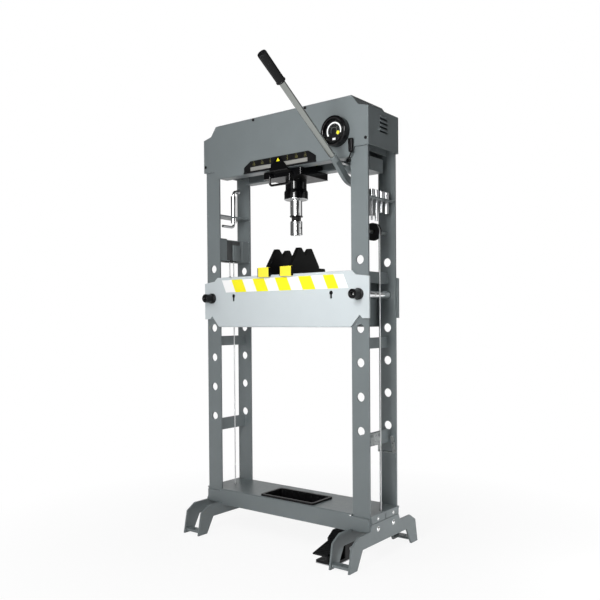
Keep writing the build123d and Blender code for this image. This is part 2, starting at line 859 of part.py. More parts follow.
# Pan under the rails, with a pointer plate bent up in front of the scale.
pointer_y = -plate_y - scale_thick - pointer_gap
pointer_low_z = head_top_z - pointer_low_drop
with BuildPart() as carriage_pointer:
    with BuildSketch(Plane.XZ.offset(-pointer_y)):
        with BuildLine():
            Polyline(
                (carriage_x - pointer_half, pointer_low_z),
                (carriage_x - pointer_half, head_top_z - pointer_brow_drop),
                (carriage_x - pointer_tip_half, head_top_z - pointer_tip_drop),
                (carriage_x + pointer_tip_half, head_top_z - pointer_tip_drop),
                (carriage_x + pointer_half, head_top_z - pointer_brow_drop),
                (carriage_x + pointer_half, pointer_low_z),
                close=True,
            )
        make_face()
    extrude(amount=pointer_sheet)
    with BuildSketch(Plane.XY.offset(pointer_low_z)):
        with BuildLine():
            Polyline(
                (carriage_x - pointer_half, pointer_y),
                (carriage_x - pointer_half, -pan_half_y),
                (carriage_x + pointer_half, -pan_half_y),
                (carriage_x + pointer_half, pointer_y),
                close=True,
            )
        make_face()
    extrude(amount=pointer_sheet)
    corner = carriage_pointer.edges().filter_by(Axis.X).group_by(Axis.Z)[0].sort_by(Axis.Y)[0]
    fillet(corner, radius=pointer_sheet)
    with BuildSketch(Plane.XY.offset(carriage_low_z)):
        with Locations((carriage_x, 0)):
            RectangleRounded(2 * pan_half, 2 * pan_half_y, bend)
    extrude(amount=pan_top_z - carriage_low_z)
    with BuildSketch(Plane.XY.offset(carriage_low_z)):
        with Locations((carriage_x, 0)):
            RectangleRounded(2 * (pan_half - sheet), 2 * (pan_half_y - sheet), bend)
    extrude(amount=pan_top_z - carriage_low_z - sheet, mode=Mode.SUBTRACT)
    with Locations((carriage_x, 0, carriage_low_z)):
        Cylinder(cylinder_outer / 2, 2 * (pan_top_z - carriage_low_z + overrun), mode=Mode.SUBTRACT)
carriage_pointer.part.label = "carriage_pointer"
export_step(carriage_pointer.part, "parts/carriage_pointer.step")

# Bail: a bent wire handle for pushing the carriage along.
with BuildPart() as carriage_bail:
    with BuildLine():
        bail_path = FilletPolyline(
            (carriage_x - bail_half, -pan_half_y, bail_high_z),
            (carriage_x - bail_half, bail_y, bail_high_z),
            (carriage_x - bail_half, bail_y, bail_low_z),
            (carriage_x + bail_half, bail_y, bail_low_z),
            (carriage_x + bail_half, bail_y, bail_high_z),
            (carriage_x + bail_half, -pan_half_y, bail_high_z),
            radius=bail_bend,
        )
    with BuildSketch(Plane((carriage_x - bail_half, -pan_half_y, bail_high_z), z_dir=(0, -1, 0))):
        Circle(bail_wire / 2)
    sweep()
carriage_bail.part.label = "carriage_bail"
export_step(carriage_bail.part, "parts/carriage_bail.step")

# Pump: a block hung from a plate between the head plates, with cheeks that carry the lever's pin.
cheek_x = lever_x - lever_width / 2 - seat
cheek_out_x = lever_x + lever_width / 2 + seat
with BuildPart() as pump:
    with BuildSketch(Plane.XY.offset(pump_low_z)):
        with Locations(((pump_x + pump_reach) / 2, 0)):
            RectangleRounded(pump_reach - pump_x, 2 * pump_half_y, bend)
    extrude(amount=pump_high_z - pump_low_z)
    with BuildSketch(Plane.XY.offset(pump_high_z)):
        with Locations(((pump_x + inner_x) / 2, 0)):
            Rectangle(inner_x - pump_x - 2 * sheet, 2 * rail_gap - 2 * sheet)
    extrude(amount=head_low_z + sheet - pump_high_z)
    with BuildSketch(Plane.XY.offset(head_low_z + sheet)):
        with Locations(((pump_x + inner_x) / 2, 0)):
            Rectangle(inner_x - pump_x - 2 * sheet, 2 * post_out_y)
    extrude(amount=pump_plate_thick)
    for face_x in (cheek_x - cheek_thick, cheek_out_x):
        with BuildSketch(Plane((face_x, 0, 0), x_dir=(0, 1, 0), z_dir=(1, 0, 0))):
            with BuildLine():
                Polyline(
                    (lever_pivot_y - cheek_half, pump_low_z),
                    (lever_pivot_y - cheek_half, lever_pivot_z),
                    (lever_pivot_y - cheek_half / 2, lever_pivot_z - cheek_low),
                    (lever_pivot_y + cheek_half / 2, lever_pivot_z - cheek_low),
                    (lever_pivot_y + cheek_half, lever_pivot_z),
                    (lever_pivot_y + cheek_half, pump_low_z),
                    close=True,
                )
            make_face()
        extrude(amount=cheek_thick)
    cheek_plane = Plane((cheek_x - overrun, 0, lever_pivot_z), x_dir=(0, 1, 0), z_dir=(1, 0, 0))
    with BuildSketch(cheek_plane):
        with Locations((lever_pivot_y, 0)):
            Circle(lever_pin / 2)
    extrude(amount=lever_width + 2 * overrun + 2 * seat, mode=Mode.SUBTRACT)
    with BuildSketch(Plane.XZ.offset(pump_half_y)):
        with Locations((lever_x, piston_rod_z)):
            Circle(piston_sleeve / 2)
    extrude(amount=piston_sleeve_front)
    with BuildSketch(Plane.XZ.offset(pump_half_y + piston_sleeve_front)):
        with Locations((lever_x, piston_rod_z)):
            Circle(piston_rod / 2 + running)
    extrude(amount=-piston_stroke_room - piston_sleeve_front, mode=Mode.SUBTRACT)
    with BuildSketch(Plane.XZ.offset(pump_half_y)):
        with Locations((valve_x, valve_z)):
            Circle(valve_stem / 2)
    extrude(amount=-valve_front_y - pump_half_y)
pump.part.label = "pump"
export_step(pump.part, "parts/pump.step")

with BuildPart() as lever_pivot_pin:
    with BuildSketch(
        Plane((cheek_x - cheek_thick, lever_pivot_y, lever_pivot_z), x_dir=(0, 1, 0), z_dir=(1, 0, 0))
    ):
        Circle(lever_pin / 2)
    extrude(amount=cheek_out_x - cheek_x + 2 * cheek_thick)
lever_pivot_pin.part.label = "lever_pivot_pin"
export_step(lever_pivot_pin.part, "parts/lever_pivot_pin.step")

# Lever: a curved arm with a socket, a bright tube in it and a grip on the tube.
tilt = radians(lever_tilt_deg)
lever_dir = (0, -cos(tilt), sin(tilt))
socket_plane = Plane((lever_x, lever_neck_y, lever_neck_z), x_dir=(1, 0, 0), z_dir=lever_dir)
with BuildPart() as lever_arm:
    with BuildLine():
        arm_path = Spline(
            (lever_x, lever_pivot_y, lever_pivot_z),
            (lever_x, lever_knee_y, lever_knee_z),
            (lever_x, lever_neck_y, lever_neck_z),
            tangents=((0, -1, 0), lever_dir),
        )
    with BuildSketch(Plane((lever_x, lever_pivot_y, lever_pivot_z), x_dir=(1, 0, 0), z_dir=(0, -1, 0))):
        Rectangle(lever_width, lever_deep)
    sweep()
    with BuildSketch(
        Plane((lever_x - lever_width / 2, lever_pivot_y, lever_pivot_z), x_dir=(0, 1, 0), z_dir=(1, 0, 0))
    ):
        Circle(lever_boss / 2)
    extrude(amount=lever_width)
    with BuildSketch(socket_plane):
        Circle(socket_outer / 2)
    extrude(amount=socket_length)
    with BuildSketch(socket_plane.offset(tube_start)):
        Circle(tube_outer / 2)
    extrude(amount=socket_length, mode=Mode.SUBTRACT)
    with BuildSketch(
        Plane((lever_x - lever_width / 2, lever_pivot_y, lever_pivot_z), x_dir=(0, 1, 0), z_dir=(1, 0, 0))
    ):
        Circle(lever_pin / 2 + running)
    extrude(amount=lever_width, mode=Mode.SUBTRACT)
lever_arm.part.label = "lever_arm"
export_step(lever_arm.part, "parts/lever_arm.step")

with BuildPart() as lever_tube:
    with BuildSketch(socket_plane.offset(tube_start)):
        Circle(tube_outer / 2)
    extrude(amount=tube_length)
lever_tube.part.label = "lever_tube"
export_step(lever_tube.part, "parts/lever_tube.step")

grip_plane = socket_plane.offset(tube_start + tube_length - grip_length + grip_over)
with BuildPart() as lever_grip:
    with BuildSketch(grip_plane):
        Circle(grip_outer / 2)
    extrude(amount=grip_length)
    fillet(lever_grip.edges().filter_by(GeomType.CIRCLE).sort_by(Axis.Z)[-1], radius=grip_over)
    with BuildSketch(grip_plane):
        Circle(tube_outer / 2)
    extrude(amount=grip_length - grip_over, mode=Mode.SUBTRACT)
lever_grip.part.label = "lever_grip"
export_step(lever_grip.part, "parts/lever_grip.step")

# Pump piston: its rod reaches out to the back of the lever.
with BuildPart() as pump_piston:
    with BuildSketch(Plane.XZ.offset(pump_half_y - piston_stroke_room + piston_tip_gap)):
        with Locations((lever_x, piston_rod_z)):
            Circle(piston_rod / 2)
    extrude(amount=-lever_neck_y - pump_half_y + piston_stroke_room - lever_deep - 2 * piston_tip_gap)
pump_piston.part.label = "pump_piston"
export_step(pump_piston.part, "parts/pump_piston.step")

# V-blocks: a foot bar across both beams and an upright plate with a V in it.
for index, v_x in enumerate(v_xs):
    with BuildPart() as v_block:
        with BuildSketch(Plane((v_x, 0, table_top_z), x_dir=(0, 1, 0), z_dir=(1, 0, 0))):
            with BuildLine():
                Polyline(
                    (0, v_high - v_notch_half),
                    (v_notch_half, v_high),
                    (v_top_half, v_high),
                    (v_foot_half, v_base_high),
                    (v_foot_half, 0),
                    (0, 0),
                )
                mirror(about=Plane.YZ)
            make_face()
            with Locations((0, v_high - v_notch_half)):
                Circle(v_groove / 2, mode=Mode.SUBTRACT)
        extrude(amount=v_thick / 2, both=True)
        with BuildSketch(Plane((v_x, 0, table_top_z), x_dir=(0, 1, 0), z_dir=(1, 0, 0))):
            with BuildLine():
                Polyline(
                    (-v_base_half, 0),
                    (-v_base_half, v_base_high - cap_drop),
                    (v_base_half, v_base_high - cap_drop),
                    (v_base_half + cap_drop, 0),
                    close=True,
                )
            make_face()
        extrude(amount=v_base_wide / 2, both=True)
    v_block.part.label = f"v_block_{index + 1}"
    export_step(v_block.part, f"parts/v_block_{index + 1}.step")

with BuildPart() as v_block_caps:
    for v_x in v_xs:
        with BuildSketch(Plane.XY.offset(table_top_z - cap_drop)):
            with Locations((v_x, -table_out_y - seat - cap_deep / 2)):
                RectangleRounded(cap_wide, cap_deep, cap_corner)
        extrude(amount=cap_high)
        with BuildSketch(Plane.XY.offset(table_top_z + seat)):
            with Locations((v_x, -(v_base_half + table_out_y + cap_corner) / 2)):
                Rectangle(cap_wide - cap_corner, table_out_y + cap_corner - v_base_half)
        extrude(amount=cap_high - cap_drop - 2 * cap_corner)
v_block_caps.part.label = "v_block_caps"
export_step(v_block_caps.part, "parts/v_block_caps.step")

# Winch on the left column: a folded housing with a cover plate between the posts, and a flanged drum in it.
drum_x = rope_left_x - drum_wrap
with BuildPart() as winch_housing:
    with BuildSketch(Plane((winch_back_x, 0, winch_z), x_dir=(0, 1, 0), z_dir=(-1, 0, 0))):
        Rectangle(2 * post_in_y, 2 * winch_half)
    extrude(amount=sheet)
    for near_y, far_y in ((cheek_front_y, -post_in_y), (cheek_rear_y, post_in_y)):
        with BuildSketch(Plane.XY.offset(winch_z - winch_half)):
            with BuildLine():
                Polyline(
                    (winch_back_x, near_y),
                    (winch_inner_x, near_y),
                    (winch_inner_x, far_y),
                    (winch_back_x, far_y),
                    close=True,
                )
            make_face()
        extrude(amount=2 * winch_half)
    fillet(winch_housing.edges().filter_by(Axis.Z).group_by(Axis.X)[-1], radius=winch_edge)
    with BuildSketch(Plane.XY.offset(winch_z - winch_half)):
        with BuildLine():
            Polyline(
                (winch_inner_x - winch_cover_recess, cheek_front_y),
                (winch_inner_x - winch_cover_recess, cheek_rear_y),
                (winch_inner_x - winch_cover_recess - cover_sheet, cheek_rear_y),
                (winch_inner_x - winch_cover_recess - cover_sheet, cheek_front_y),
                close=True,
            )
        make_face()
    extrude(amount=2 * winch_half)
    with BuildSketch(Plane.XZ.offset(post_in_y)):
        with Locations((drum_x, winch_z)):
            Circle(drum_shaft / 2)
    extrude(amount=-2 * post_in_y, mode=Mode.SUBTRACT)
winch_housing.part.label = "winch_housing"
export_step(winch_housing.part, "parts/winch_housing.step")

with BuildPart() as winch_drum:
    with BuildSketch(Plane((drum_x, 0, winch_z), x_dir=(1, 0, 0), z_dir=(0, 0, 1))):
        with BuildLine():
            Polyline(
                (0, -post_in_y),
                (drum_shaft / 2, -post_in_y),
                (drum_shaft / 2, cheek_front_y + seat),
                (drum_flange, cheek_front_y + seat),
                (drum_flange, cheek_front_y + seat + drum_flange_thick),
                (drum_wrap - rope / 2 - near, cheek_front_y + seat + drum_flange_thick),
                (drum_wrap - rope / 2 - near, cheek_rear_y - seat - drum_flange_thick),
                (drum_flange, cheek_rear_y - seat - drum_flange_thick),
                (drum_flange, cheek_rear_y - seat),
                (drum_shaft / 2, cheek_rear_y - seat),
                (drum_shaft / 2, post_in_y),
                (0, post_in_y),
                close=True,
            )
        make_face()
    revolve(axis=Axis((drum_x, 0, winch_z), (0, 1, 0)))
winch_drum.part.label = "winch_drum"
export_step(winch_drum.part, "parts/winch_drum.step")

# Pulleys: two in the base and one high in the right column, each on its own axle.
pulley_xs = (rope_left_x + wrap, rope_right_x - wrap, rope_right_x - wrap)
pulley_zs = (base_pulley_z, base_pulley_z, pulley_z)
axle_halves = (post_out_y, post_in_y, post_in_y)
groove = wrap - rope / 2 - near
with BuildPart() as rope_pulleys:
    for pulley_x, place_z in zip(pulley_xs, pulley_zs):
        with BuildSketch(Plane((pulley_x, 0, place_z), x_dir=(1, 0, 0), z_dir=(0, 0, 1))):
            with BuildLine():
                Polyline(
                    (pulley_axle / 2, -pulley_wide / 2),
                    (groove + pulley_flange, -pulley_wide / 2),
                    (groove, -rope / 2 - near),
                    (groove, rope / 2 + near),
                    (groove + pulley_flange, pulley_wide / 2),
                    (pulley_axle / 2, pulley_wide / 2),
                    close=True,
                )
            make_face()
        revolve(axis=Axis((pulley_x, 0, place_z), (0, 1, 0)))
rope_pulleys.part.label = "rope_pulleys"
export_step(rope_pulleys.part, "parts/rope_pulleys.step")

with BuildPart() as pulley_axles:
    for pulley_x, place_z, axle_half in zip(pulley_xs, pulley_zs, axle_halves):
        with BuildSketch(Plane.XZ):
            with Locations((pulley_x, place_z)):
                Circle(pulley_axle / 2)
        extrude(amount=axle_half, both=True)
pulley_axles.part.label = "pulley_axles"
export_step(pulley_axles.part, "parts/pulley_axles.step")

# Ropes: one straight from the drum to the table's left end, one round the pulleys to its right end.
with BuildPart() as rope_short:
    with BuildSketch(Plane.XY.offset(lug_z + lug_high / 2)):
        with Locations((rope_left_x, lift_y)):
            Circle(rope / 2)
    extrude(amount=winch_z - lug_z - lug_high / 2)
rope_short.part.label = "rope_short"
export_step(rope_short.part, "parts/rope_short.step")

low_run_z = base_pulley_z - wrap
inner_run_x = rope_right_x - 2 * wrap
with BuildPart() as rope_long:
    with BuildLine(Plane.XZ):
        Line((rope_left_x, winch_z), (rope_left_x, base_pulley_z))
        CenterArc((rope_left_x + wrap, base_pulley_z), wrap, 180, 90)
        Line((rope_left_x + wrap, low_run_z), (rope_right_x - wrap, low_run_z))
        CenterArc((rope_right_x - wrap, base_pulley_z), wrap, 270, 90)
        Line((rope_right_x, base_pulley_z), (rope_right_x, pulley_z))
        CenterArc((rope_right_x - wrap, pulley_z), wrap, 0, 180)
        Line((inner_run_x, pulley_z), (inner_run_x, lug_z + lug_high / 2))
    with BuildSketch(Plane((rope_left_x, 0, winch_z), z_dir=(0, 0, -1))):
        Circle(rope / 2)
    sweep()
rope_long.part.label = "rope_long"
export_step(rope_long.part, "parts/rope_long.step")

# Tool holders: a plate across each column, bored for the punches and for the stored crank.
punches = [
    (column_x + row * post_width, place * post_in_y, length, size)
    for row, lengths, sizes in zip(punch_row_shares, punch_lengths, punch_sizes)
    for place, length, size in zip(punch_y_shares, lengths, sizes)
]
with BuildPart() as tool_holders:
    with BuildSketch(Plane.XY.offset(holder_z)):
        with GridLocations(column_spacing, 0, 2, 1):
            Rectangle(post_width, 2 * post_in_y)
        for punch_x, punch_y, _, size in punches:
            with Locations((punch_x, punch_y)):
                Circle(size / 2 + seat, mode=Mode.SUBTRACT)
        with Locations((crank_x, crank_y)):
            Circle(crank_sleeve / 2 + seat, mode=Mode.SUBTRACT)
    extrude(amount=holder_thick)
tool_holders.part.label = "tool_holders"
export_step(tool_holders.part, "parts/tool_holders.step")

with BuildPart() as punch_set:
    for punch_x, punch_y, length, size in punches:
        with BuildSketch(Plane.XY.offset(holder_z + holder_thick)):
            with Locations((punch_x, punch_y)):
                Circle(punch_head / 2)
        extrude(amount=punch_head_high)
        with BuildSketch(Plane.XY.offset(holder_z + holder_thick)):
            with Locations((punch_x, punch_y)):
                Circle(size / 2)
        extrude(amount=-length - holder_thick)
    chamfer(punch_set.edges().group_by(Axis.Z)[-1], length=pin_groove / 2)
punch_set.part.label = "punch_set"
export_step(punch_set.part, "parts/punch_set.step")

# Winch crank, stored in the left holder: a bent rod with an upset end and a loose sleeve.
with BuildPart() as crank:
    with BuildLine():
        crank_path = FilletPolyline(
            (crank_x, crank_y - crank_arm, crank_low_z),
            (crank_x, crank_y, crank_low_z),
            (crank_x, crank_y, crank_high_z),
            (crank_x, crank_y + crank_top_arm, crank_high_z),
            radius=crank_bend,
        )
    with BuildSketch(Plane((crank_x, crank_y - crank_arm, crank_low_z), z_dir=(0, 1, 0))):
        Circle(crank_rod / 2)
    sweep()
    with BuildSketch(Plane((crank_x, crank_y + crank_top_arm, crank_high_z), z_dir=(0, 1, 0))):
        Circle(crank_tip / 2)
    extrude(amount=crank_tip_length)
    fillet(crank.edges().filter_by(GeomType.CIRCLE).group_by(Axis.Y)[-1], radius=pin_groove)
crank.part.label = "crank"
export_step(crank.part, "parts/crank.step")

with BuildPart() as crank_sleeve_tube:
    with BuildSketch(Plane.XY.offset(sleeve_low_z)):
        with Locations((crank_x, crank_y)):
            Circle(crank_sleeve / 2)
            Circle(crank_rod / 2 + seat, mode=Mode.SUBTRACT)
    extrude(amount=sleeve_high_z - sleeve_low_z)
crank_sleeve_tube.part.label = "crank_sleeve"
export_step(crank_sleeve_tube.part, "parts/crank_sleeve.step")

# Hook bracket: a plate on the lowest stay whose arm runs out and turns up.
hook_x = column_x + sheet / 2
with BuildPart() as hook:
    with BuildSketch(Plane((hook_x, 0, 0), x_dir=(0, 1, 0), z_dir=(1, 0, 0))):
        with BuildLine():
            Polyline(
                (hook_front_y, hook_plate_high_z),
                (hook_rear_y, hook_plate_high_z),
                (hook_rear_y, hook_arm_z),
                (hook_rear_y - hook_wide, hook_arm_z),
                (hook_rear_y - hook_wide, hook_plate_low_z),
                (hook_front_y, hook_plate_low_z),
                close=True,
            )
        make_face()
        with Locations(
            (hook_front_y + hook_hole_inset, hook_plate_high_z - hook_hole_inset),
            (hook_rear_y - hook_hole_inset, hook_plate_high_z - hook_hole_inset),
        ):
            Circle(hook_hole / 2, mode=Mode.SUBTRACT)
    extrude(amount=hook_sheet)
    with BuildSketch(Plane.XZ.offset(-hook_rear_y)):
        with BuildLine():
            Polyline(
                (hook_x, hook_arm_z),
                (hook_x + hook_out, hook_arm_z),
                (hook_x + hook_out - hook_lean, hook_arm_z + hook_up),
                (hook_x + hook_out - hook_lean - hook_sheet, hook_arm_z + hook_up),
                (hook_x + hook_out - 2 * hook_sheet, hook_arm_z + hook_sheet),
                (hook_x, hook_arm_z + hook_sheet),
                close=True,
            )
        make_face()
    extrude(amount=hook_wide)
hook.part.label = "hook_bracket"
export_step(hook.part, "parts/hook_bracket.step")

# Release lever: a hub on the pump's valve stem, a rod that leans out and a flat knob on it.
lean = radians(release_lean_deg)
forward = radians(release_forward_deg)
release_dir = (sin(lean), -sin(forward), cos(lean) * cos(forward))
release_plane = Plane((valve_x, valve_front_y - valve_cap / 2, valve_z), x_dir=(0, 1, 0), z_dir=release_dir)
with BuildPart() as release_lever:
    with BuildSketch(Plane.XZ.offset(table_in_y)):
        with Locations((valve_x, valve_z)):
            Circle(valve_hub / 2)
    extrude(amount=-valve_front_y + valve_cap - table_in_y)
    with BuildSketch(Plane.XZ.offset(table_in_y)):
        with Locations((valve_x, valve_z)):
            Circle(valve_stem / 2 + running)
    extrude(amount=-valve_front_y + seat - table_in_y, mode=Mode.SUBTRACT)
    with BuildSketch(release_plane.offset(valve_hub / 2 - valve_cap / 2)):
        Circle(release_rod / 2)
    extrude(amount=release_rod_length)
release_lever.part.label = "release_lever"
export_step(release_lever.part, "parts/release_lever.step")

knob_foot = release_plane.offset(valve_hub / 2 - valve_cap / 2 + release_rod_length - release_rod).origin
knob_front_y = knob_foot.Y - release_knob_thick / 2
with BuildPart() as release_paddle:
    with BuildSketch(Plane((knob_foot.X, knob_front_y, knob_foot.Z), x_dir=(1, 0, 0), z_dir=(0, 1, 0))):
        with BuildLine():
            Polyline(
                (-release_knob / 4, 0),
                (-release_knob / 2, -knob_belly_share * release_knob_length),
                (-release_knob / 3, -release_knob_length),
                (release_knob / 3, -release_knob_length),
                (release_knob / 2, -knob_belly_share * release_knob_length),
                (release_knob / 4, 0),
                close=True,
            )
        make_face()
    extrude(amount=release_knob_thick)
    chamfer(release_paddle.edges().filter_by(Axis.Y, reverse=True), length=release_knob_thick / 4)
    with BuildSketch(release_plane.offset(valve_hub / 2 - valve_cap / 2)):
        Circle(release_rod / 2 + running)
    extrude(amount=release_rod_length + running, mode=Mode.SUBTRACT)
release_paddle.part.label = "release_knob"
export_step(release_paddle.part, "parts/release_knob.step")

# Foot pedal beside the right foot: a hooded base and a hinged treadle.
pedal_x = foot_inner_x - pedal_wide / 2
with BuildPart() as pedal_base:
    with BuildSketch(Plane((pedal_x, 0, 0), x_dir=(0, 1, 0), z_dir=(1, 0, 0))):
        with BuildLine():
            Polyline(
                (pedal_front_y, 0),
                (pedal_rear_y, 0),
                (pedal_rear_y, pedal_high - pedal_sole),
                (pedal_rear_y - 2 * pedal_sole, pedal_high),
                (pedal_crown_y, pedal_high),
                (pedal_brow_y, pedal_brow_z),
                (pedal_brow_y, pedal_sole),
                (pedal_front_y, pedal_sole),
                close=True,
            )
        make_face()
    extrude(amount=pedal_wide / 2, both=True)
    with BuildSketch(Plane((pedal_x, 0, 0), x_dir=(0, 1, 0), z_dir=(1, 0, 0))):
        with BuildLine():
            Polyline(
                (pedal_brow_y - overrun, pedal_sole),
                (pedal_rear_y - pedal_wall, pedal_sole),
                (pedal_rear_y - pedal_wall, pedal_brow_z),
                (pedal_brow_y - overrun, pedal_brow_z),
                close=True,
            )
        make_face()
    extrude(amount=pedal_wide / 2 - pedal_wall, both=True, mode=Mode.SUBTRACT)
    with BuildSketch(Plane((pedal_x, pedal_axle_y, pedal_axle_z), x_dir=(0, 1, 0), z_dir=(1, 0, 0))):
        Circle(pedal_axle / 2)
    extrude(amount=pedal_wide / 2, both=True, mode=Mode.SUBTRACT)
pedal_base.part.label = "pedal_base"
export_step(pedal_base.part, "parts/pedal_base.step")

treadle_half = pedal_wide / 2 - pedal_wall - treadle_gap
with BuildPart() as treadle:
    with BuildSketch(Plane((pedal_x, 0, 0), x_dir=(0, 1, 0), z_dir=(1, 0, 0))):
        with BuildLine():
            Polyline(
                (treadle_nose_y, treadle_nose_z),
                (treadle_nose_y, treadle_nose_z + treadle_tip),
                (pedal_brow_y - treadle_gap, pedal_brow_z - treadle_brow_drop),
                (pedal_axle_y, pedal_brow_z - treadle_back_drop),
                (pedal_axle_y + treadle_thick, pedal_axle_z),
                (pedal_axle_y, pedal_axle_z - treadle_thick / 2),
                close=True,
            )
        make_face()
        with Locations((pedal_axle_y, pedal_axle_z)):
            Circle(pedal_axle / 2 + running, mode=Mode.SUBTRACT)
    extrude(amount=treadle_half, both=True)
treadle.part.label = "pedal_treadle"
export_step(treadle.part, "parts/pedal_treadle.step")

with BuildPart() as pedal_pin:
    with BuildSketch(Plane((pedal_x, pedal_axle_y, pedal_axle_z), x_dir=(0, 1, 0), z_dir=(1, 0, 0))):
        Circle(pedal_axle / 2)
    extrude(amount=pedal_wide / 2, both=True)
pedal_pin.part.label = "pedal_pin"
export_step(pedal_pin.part, "parts/pedal_pin.step")
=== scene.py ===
"""Workshop press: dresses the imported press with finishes, fasteners, marks and grips."""

import json
from math import cos, pi, radians, sin

import bmesh
import bpy
from bpy.props import FloatProperty, FloatVectorProperty, IntProperty, PointerProperty
from mathutils import Matrix, Vector


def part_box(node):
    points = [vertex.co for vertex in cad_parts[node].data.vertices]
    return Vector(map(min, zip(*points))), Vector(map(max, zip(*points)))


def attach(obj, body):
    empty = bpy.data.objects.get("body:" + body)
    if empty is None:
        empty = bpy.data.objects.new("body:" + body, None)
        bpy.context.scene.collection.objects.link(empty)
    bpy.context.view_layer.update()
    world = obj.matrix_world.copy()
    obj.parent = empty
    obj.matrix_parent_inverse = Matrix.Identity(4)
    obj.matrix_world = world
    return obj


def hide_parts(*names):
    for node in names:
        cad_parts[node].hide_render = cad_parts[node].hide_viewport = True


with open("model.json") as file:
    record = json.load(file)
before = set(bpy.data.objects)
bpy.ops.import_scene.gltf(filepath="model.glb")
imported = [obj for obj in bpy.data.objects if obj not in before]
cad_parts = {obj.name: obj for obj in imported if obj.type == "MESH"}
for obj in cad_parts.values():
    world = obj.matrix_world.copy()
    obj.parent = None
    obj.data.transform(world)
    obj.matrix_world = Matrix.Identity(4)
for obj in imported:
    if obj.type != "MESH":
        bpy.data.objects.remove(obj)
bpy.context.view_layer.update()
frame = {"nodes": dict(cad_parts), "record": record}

bl_info = {
    "name": "Workshop press",
    "version": (1, 0, 0),
    "blender": (4, 5, 0),
    "location": "View3D > Sidebar > Press",
    "description": "Finishes and small pieces for a free-standing workshop press",
    "category": "Object",
}


def colour(name, text, value):
    """A colour setting."""
    return FloatVectorProperty(
        name=name, description=text, subtype="COLOR", size=3, min=0.0, max=1.0, default=value
    )


def length(name, text, value):
    """A length setting in metres."""
    return FloatProperty(name=name, description=text, unit="LENGTH", subtype="DISTANCE", default=value)


class PressColours(bpy.types.PropertyGroup):
    """Colours of the press, as linear values."""

    frame_paint: colour("Frame paint", "Powder coat on the posts, head and base", (0.160, 0.183, 0.189))
    # Painted shade: a dark grey that stands in for the shade in the recess round the winch's panel.
    recess_shade_paint: colour("Painted recess shade", "Painted shade inside the winch's recess", (0.045, 0.048, 0.050))
    table_paint: colour("Table paint", "Pale powder coat on the table", (0.562, 0.612, 0.632))
    black_paint: colour("Black paint", "Gloss paint on the cylinder and carriage", (0.002, 0.002, 0.0025))
    block_paint: colour("Block paint", "Satin paint on the V-blocks and the pan", (0.004, 0.004, 0.004))
    black_plastic: colour("Black plastic", "Moulded grips, tray and pedal", (0.004, 0.004, 0.0045))
    bright_steel: colour("Bright steel", "Chromed ram, pin shafts and bolt heads", (0.84, 0.85, 0.85))
    plain_steel: colour("Plain steel", "Turned pins, punches, crank and drum", (0.46, 0.47, 0.48))
    tube_steel: colour("Tube steel", "Drawn tube of the pump lever", (0.31, 0.325, 0.31))
    zinc: colour("Zinc", "Galvanised hook, axles, caps and rope ends", (0.34, 0.36, 0.36))
    stripe_yellow: colour("Stripe yellow", "Painted stripes, arrow and limit spot", (0.95, 0.86, 0.012))
    cap_yellow: colour("Cap yellow", "Moulded caps of the blocks", (0.93, 0.79, 0.05))
    stripe_white: colour("Stripe white", "Painted ground of the stripes", (0.94, 0.94, 0.94))
    scale_grey: colour("Scale grey", "Anodised strips on the scale", (0.25, 0.25, 0.235))
    faded_yellow: colour("Faded yellow", "Thin print on the scale", (0.17, 0.16, 0.05))
    print_grey: colour("Print grey", "Ticks, figures and ring on the gauge", (0.20, 0.21, 0.21))
    dial_white: colour("Dial white", "Arc and label on the gauge", (0.86, 0.87, 0.87))


class PressSizes(bpy.types.PropertyGroup):
    """Sizes of the small pieces of the press."""

    screw_radius: length("Screw radius", "Head of a cover screw", 0.0062)
    bolt_radius: length("Bolt radius", "Head of a foot bolt", 0.0085)
    stripe_count: IntProperty(name="Stripes", description="Yellow bars on the table", default=5, min=1, max=5)
    stripe_low: length("Stripe low edge", "Height of the stripes' lower edge", 1.077)
    stripe_high: length("Stripe high edge", "Height of the stripes' upper edge", 1.133)
    stripe_slant: length("Stripe slant", "How far a stripe leans to the right towards its foot", 0.025)
    stripe_pitch: length("Stripe pitch", "Distance from one yellow bar to the next", 0.127)
    weld_radius: length("Weld radius", "Half the width of a weld bead", 0.0034)


def colours():
    """The colour settings of the open scene."""
    return bpy.context.scene.press_colours


def sizes():
    """The size settings of the open scene."""
    return bpy.context.scene.press_sizes


# Materials

EDGE_WEAR = 0.0016  # metres from an edge to which its paint is rubbed


def node_maker(tree):
    """Returns a function that adds a shader node to a tree and sets its inputs."""

    def add(kind, mode=None, **inputs):
        node = tree.nodes.new("ShaderNode" + kind)
        if mode:
            node.operation = mode
        for key, value in inputs.items():
            node.inputs[key.replace("_", " ")].default_value = value
        return node

    return add


def ramp(node, stops):
    """Sets a colour ramp from (place, colour) pairs."""
    elements = node.color_ramp.elements
    while len(elements) < len(stops):
        elements.new(0.5)
    for element, (place, tone) in zip(elements, stops):
        element.position = place
        element.color = (*tone, 1.0)


def finish(name, metal=0.0, specular=0.5):
    """A new material with its shader, its node adder and its linker."""
    material = bpy.data.materials.new(name)
    material.use_nodes = True
    shader = material.node_tree.nodes["Principled BSDF"]
    shader.inputs["Metallic"].default_value = metal
    shader.inputs["Specular IOR Level"].default_value = specular
    return material, shader, node_maker(material.node_tree), material.node_tree.links.new


def uneven(add, link, shader, pattern, low, high):
    """Lets a pattern vary the roughness between two values."""
    spread = add("MapRange", To_Min=low, To_Max=high)
    link(pattern, spread.inputs["Value"])
    link(spread.outputs["Result"], shader.inputs["Roughness"])


def relief(add, link, shader, pattern, strength, depth):
    """Lets a pattern raise the surface by a depth in metres."""
    bump = add("Bump", Strength=strength, Distance=depth)
    link(pattern, bump.inputs["Height"])
    link(bump.outputs["Normal"], shader.inputs["Normal"])


def either(add, link, first, second):
    """The larger of two node values."""
    larger = add("Math", "MAXIMUM")
    link(first, larger.inputs[0])
    link(second, larger.inputs[1])
    return larger.outputs["Value"]


